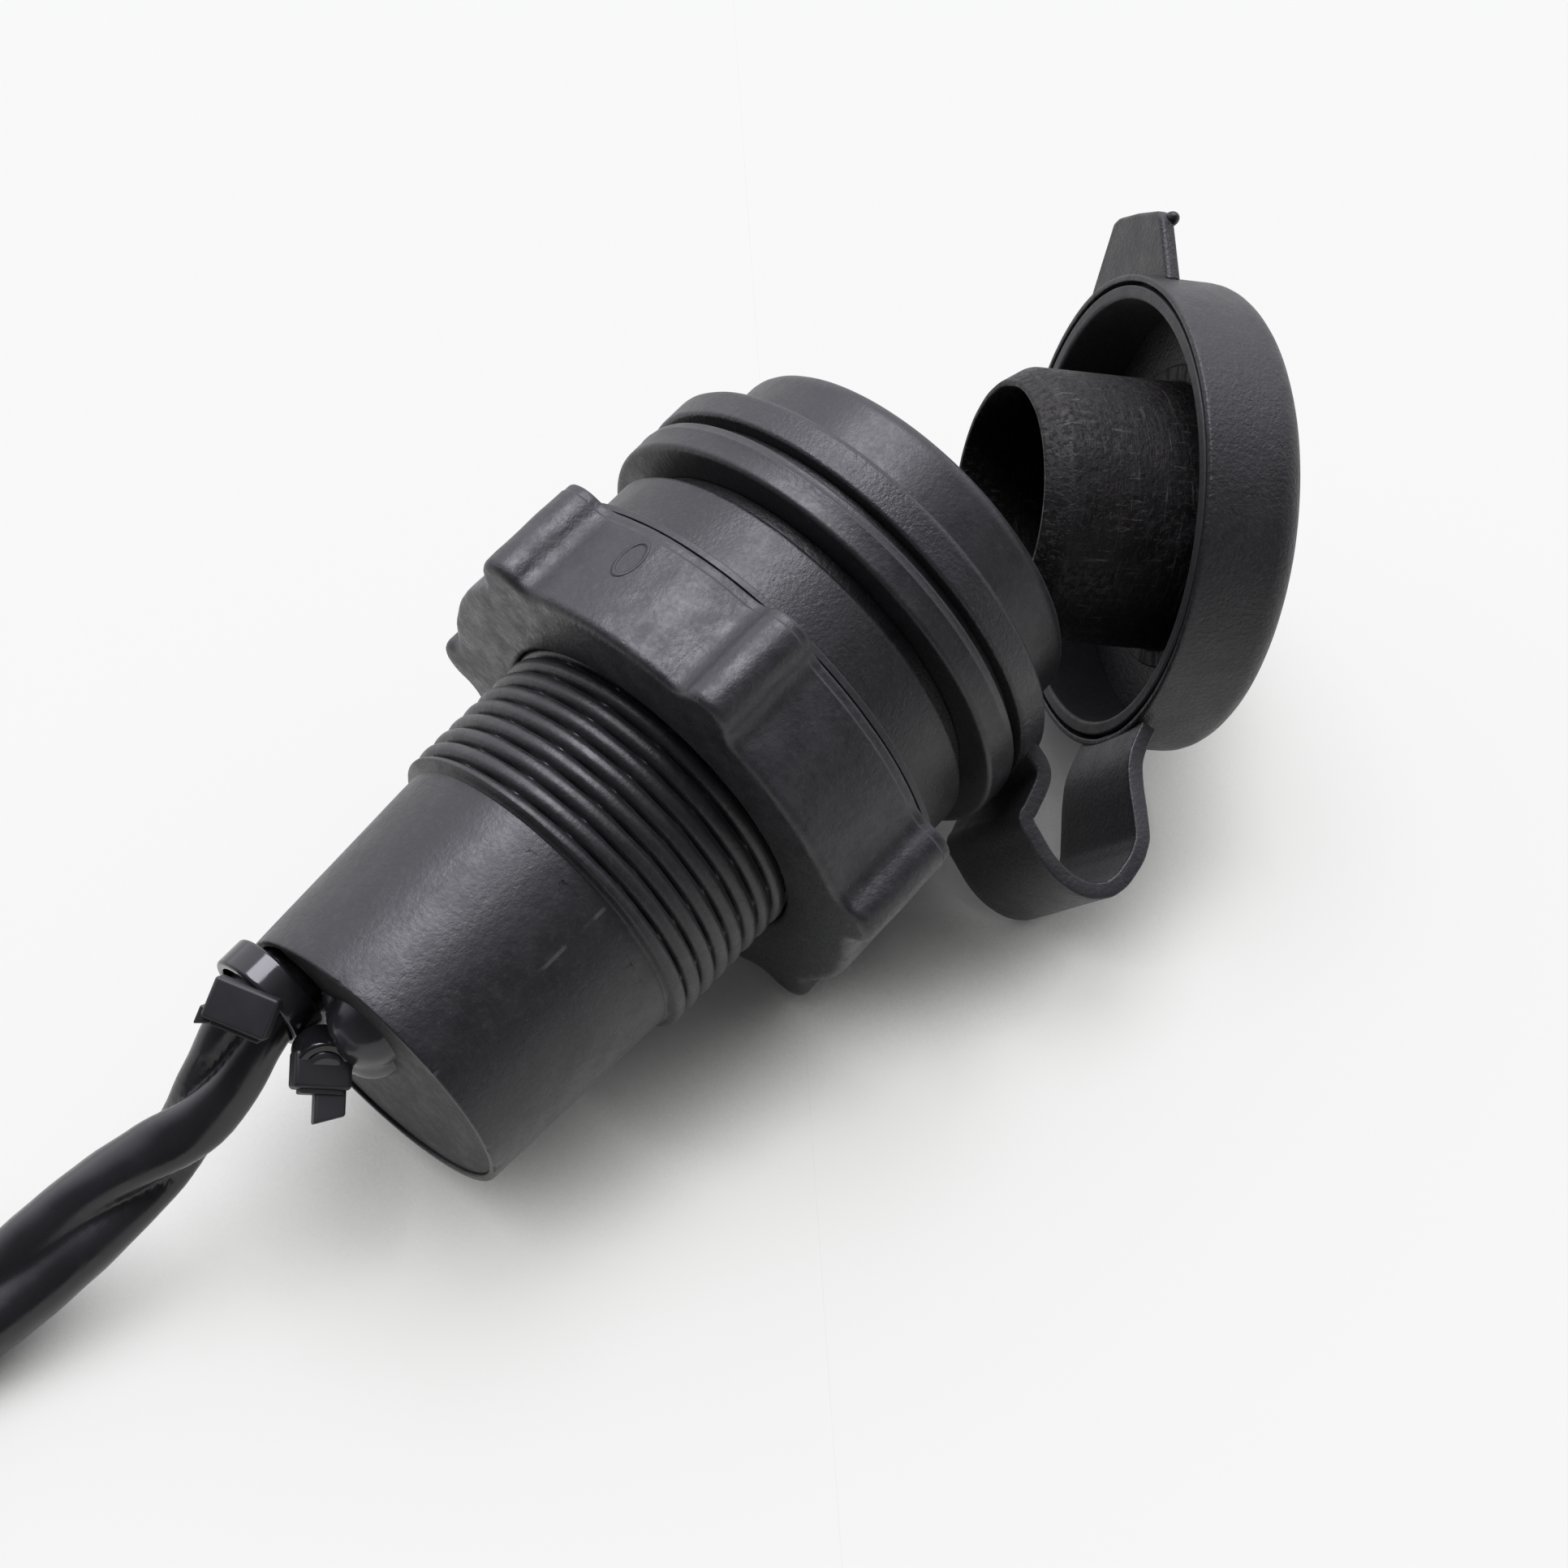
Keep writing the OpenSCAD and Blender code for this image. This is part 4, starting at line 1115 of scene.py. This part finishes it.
def glue_height(x, y):
    """Beads that run into each other, lower beside the lead and falling off outside."""
    total = 0.0
    for (bead_x, bead_y), r in BEADS:
        apart = (x - bead_x) ** 2 + (y - bead_y) ** 2
        fall = (r * r - apart) ** 0.5 if apart < r * r else -1.5 * (apart**0.5 - r)
        total += math.exp(BEAD_BLEND * (fall - 0.25 * r))
    height = 1.1 * math.log(total) / BEAD_BLEND - 0.1
    from_lead = math.hypot(x - LEAD_HOLE_X, y) - LEAD_HOLE_R
    return min(height, from_lead * 0.9) + 0.12 * noise.noise(Vector((x * 0.7, y * 0.7, 1.0)))


def adhesive():
    """Smooth beads of adhesive on the end cover, as a sheet that stops where it meets the cover."""
    verts, faces = [], []
    for i in range(BEAD_STEPS + 1):
        for j in range(BEAD_STEPS + 1):
            x, y = -8 + 10.5 * i / BEAD_STEPS, -9.2 + 14.5 * j / BEAD_STEPS
            verts.append((x, y, 0.3 - max(glue_height(x, y), -0.25)))
    row = BEAD_STEPS + 1
    for i in range(BEAD_STEPS):
        for j in range(BEAD_STEPS):
            a = i * row + j
            quad = (a, a + row, a + row + 1, a + 1)
            if min(verts[k][2] for k in quad) < 0.36:
                faces.append(quad)
    return link("adhesive", verts, faces, glue, LAID, 0)


upper, lower, seal = tie_upper(), tie_lower(), adhesive()
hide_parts("cable_tie_upper")
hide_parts("cable_tie_lower")
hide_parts("potting_seal")
for piece in (upper, lower, seal):
    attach(piece, "socket")

# CAD nodes that stay, with materials
finish = {
    "contact_sleeve": steel, "contact_insulator": paper, "centre_contact": brass, "contact_rivet": steel,
    "positive_tag": brass, "negative_tag": steel, "positive_wire": wire_red, "negative_wire": wire_black,
    "solder_joints": solder, "end_cover": cover_black,
}
for node, material in finish.items():
    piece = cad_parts[node]
    piece.data.materials.clear()
    piece.data.materials.append(material)
    piece.data.polygons.foreach_set("use_smooth", [True] * len(piece.data.polygons))
    piece.data.set_sharp_from_angle(angle=math.radians(35))
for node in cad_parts.values():
    if node.hide_render:
        node.data.materials.clear()
        node.data.materials.append(black)

# Floor: its emission is a painted glow that lights it and the part from below; an occlusion test dims that
# glow close under the part, a painted contact shadow
FLOOR_HALF = 12000
NEAR_MM = 18
sides = ((-1, -1), (1, -1), (1, 1), (-1, 1))
floor = link("floor", [(x * FLOOR_HALF, y * FLOOR_HALF, 0) for x, y in sides], [(0, 1, 2, 3)], sharp=0)
floor.location.z = -0.0001
ground = Nodes("studio_floor")
tint = ground.ramp(ground.noise(3, 2), (0.0, (0.2, 0.2, 0.202)), (1.0, (0.205, 0.205, 0.207)))
# Occlusion within NEAR_MM of the part dims the floor's glow: painted contact shadow
near = ground.tree.nodes.new("ShaderNodeAmbientOcclusion")
near.samples = 12
near.inputs["Distance"].default_value = NEAR_MM * MM
painted_glow = ground.span(near.outputs["AO"], 0.32, 0.84, 0.02, 0.62)
ground.join(painted_glow, ground.shader.inputs["Emission Strength"])
ground.shader.inputs["Emission Color"].default_value = (0.993, 1.0, 0.955, 1)
floor.data.materials.append(ground.set(colour=tint, rough=0.7, spec=0.1))

# Light: a room that is bright on its far side, and a broad soft lamp overhead
FAR_SIDE = (0.74, 0.62, 0.2)
OVERHEAD = (0.2, 0.25, 0.95)
LIGHT_TINT = (1.0, 0.985, 1.08)


def surroundings(name, low, high):
    """A studio that is bright on its far side, where the white sweep rises, and dim on the near side."""
    world = bpy.data.worlds.new(name)
    scene.world = world
    world.use_nodes = True
    tree = world.node_tree
    back = tree.nodes["Background"]
    where = tree.nodes.new("ShaderNodeTexCoord").outputs["Generated"]
    toward = tree.nodes.new("ShaderNodeVectorMath")
    toward.operation = "DOT_PRODUCT"
    tree.links.new(where, toward.inputs[0])
    toward.inputs[1].default_value = Vector(FAR_SIDE).normalized()
    level = tree.nodes.new("ShaderNodeMapRange")
    level.interpolation_type = "SMOOTHSTEP"
    tree.links.new(toward.outputs["Value"], level.inputs["Value"])
    fill(level, {"From Min": -0.25, "From Max": 0.75, "To Min": low, "To Max": high})
    tree.links.new(level.outputs[0], back.inputs["Strength"])
    back.inputs["Color"].default_value = (*LIGHT_TINT, 1)


def sun(name, toward, strength, spread_deg):
    lamp = bpy.data.objects.new(name, bpy.data.lights.new(name, "SUN"))
    scene.collection.objects.link(lamp)
    lamp.data.energy = strength
    lamp.data.angle = math.radians(spread_deg)
    lamp.data.color = LIGHT_TINT
    lamp.rotation_mode = "QUATERNION"
    lamp.rotation_quaternion = Vector(toward).to_track_quat("Z", "Y")


surroundings("studio", 0.12, 1.6)
sun("overhead", OVERHEAD, 2.6, 36)
scene.view_settings.view_transform = "Standard"
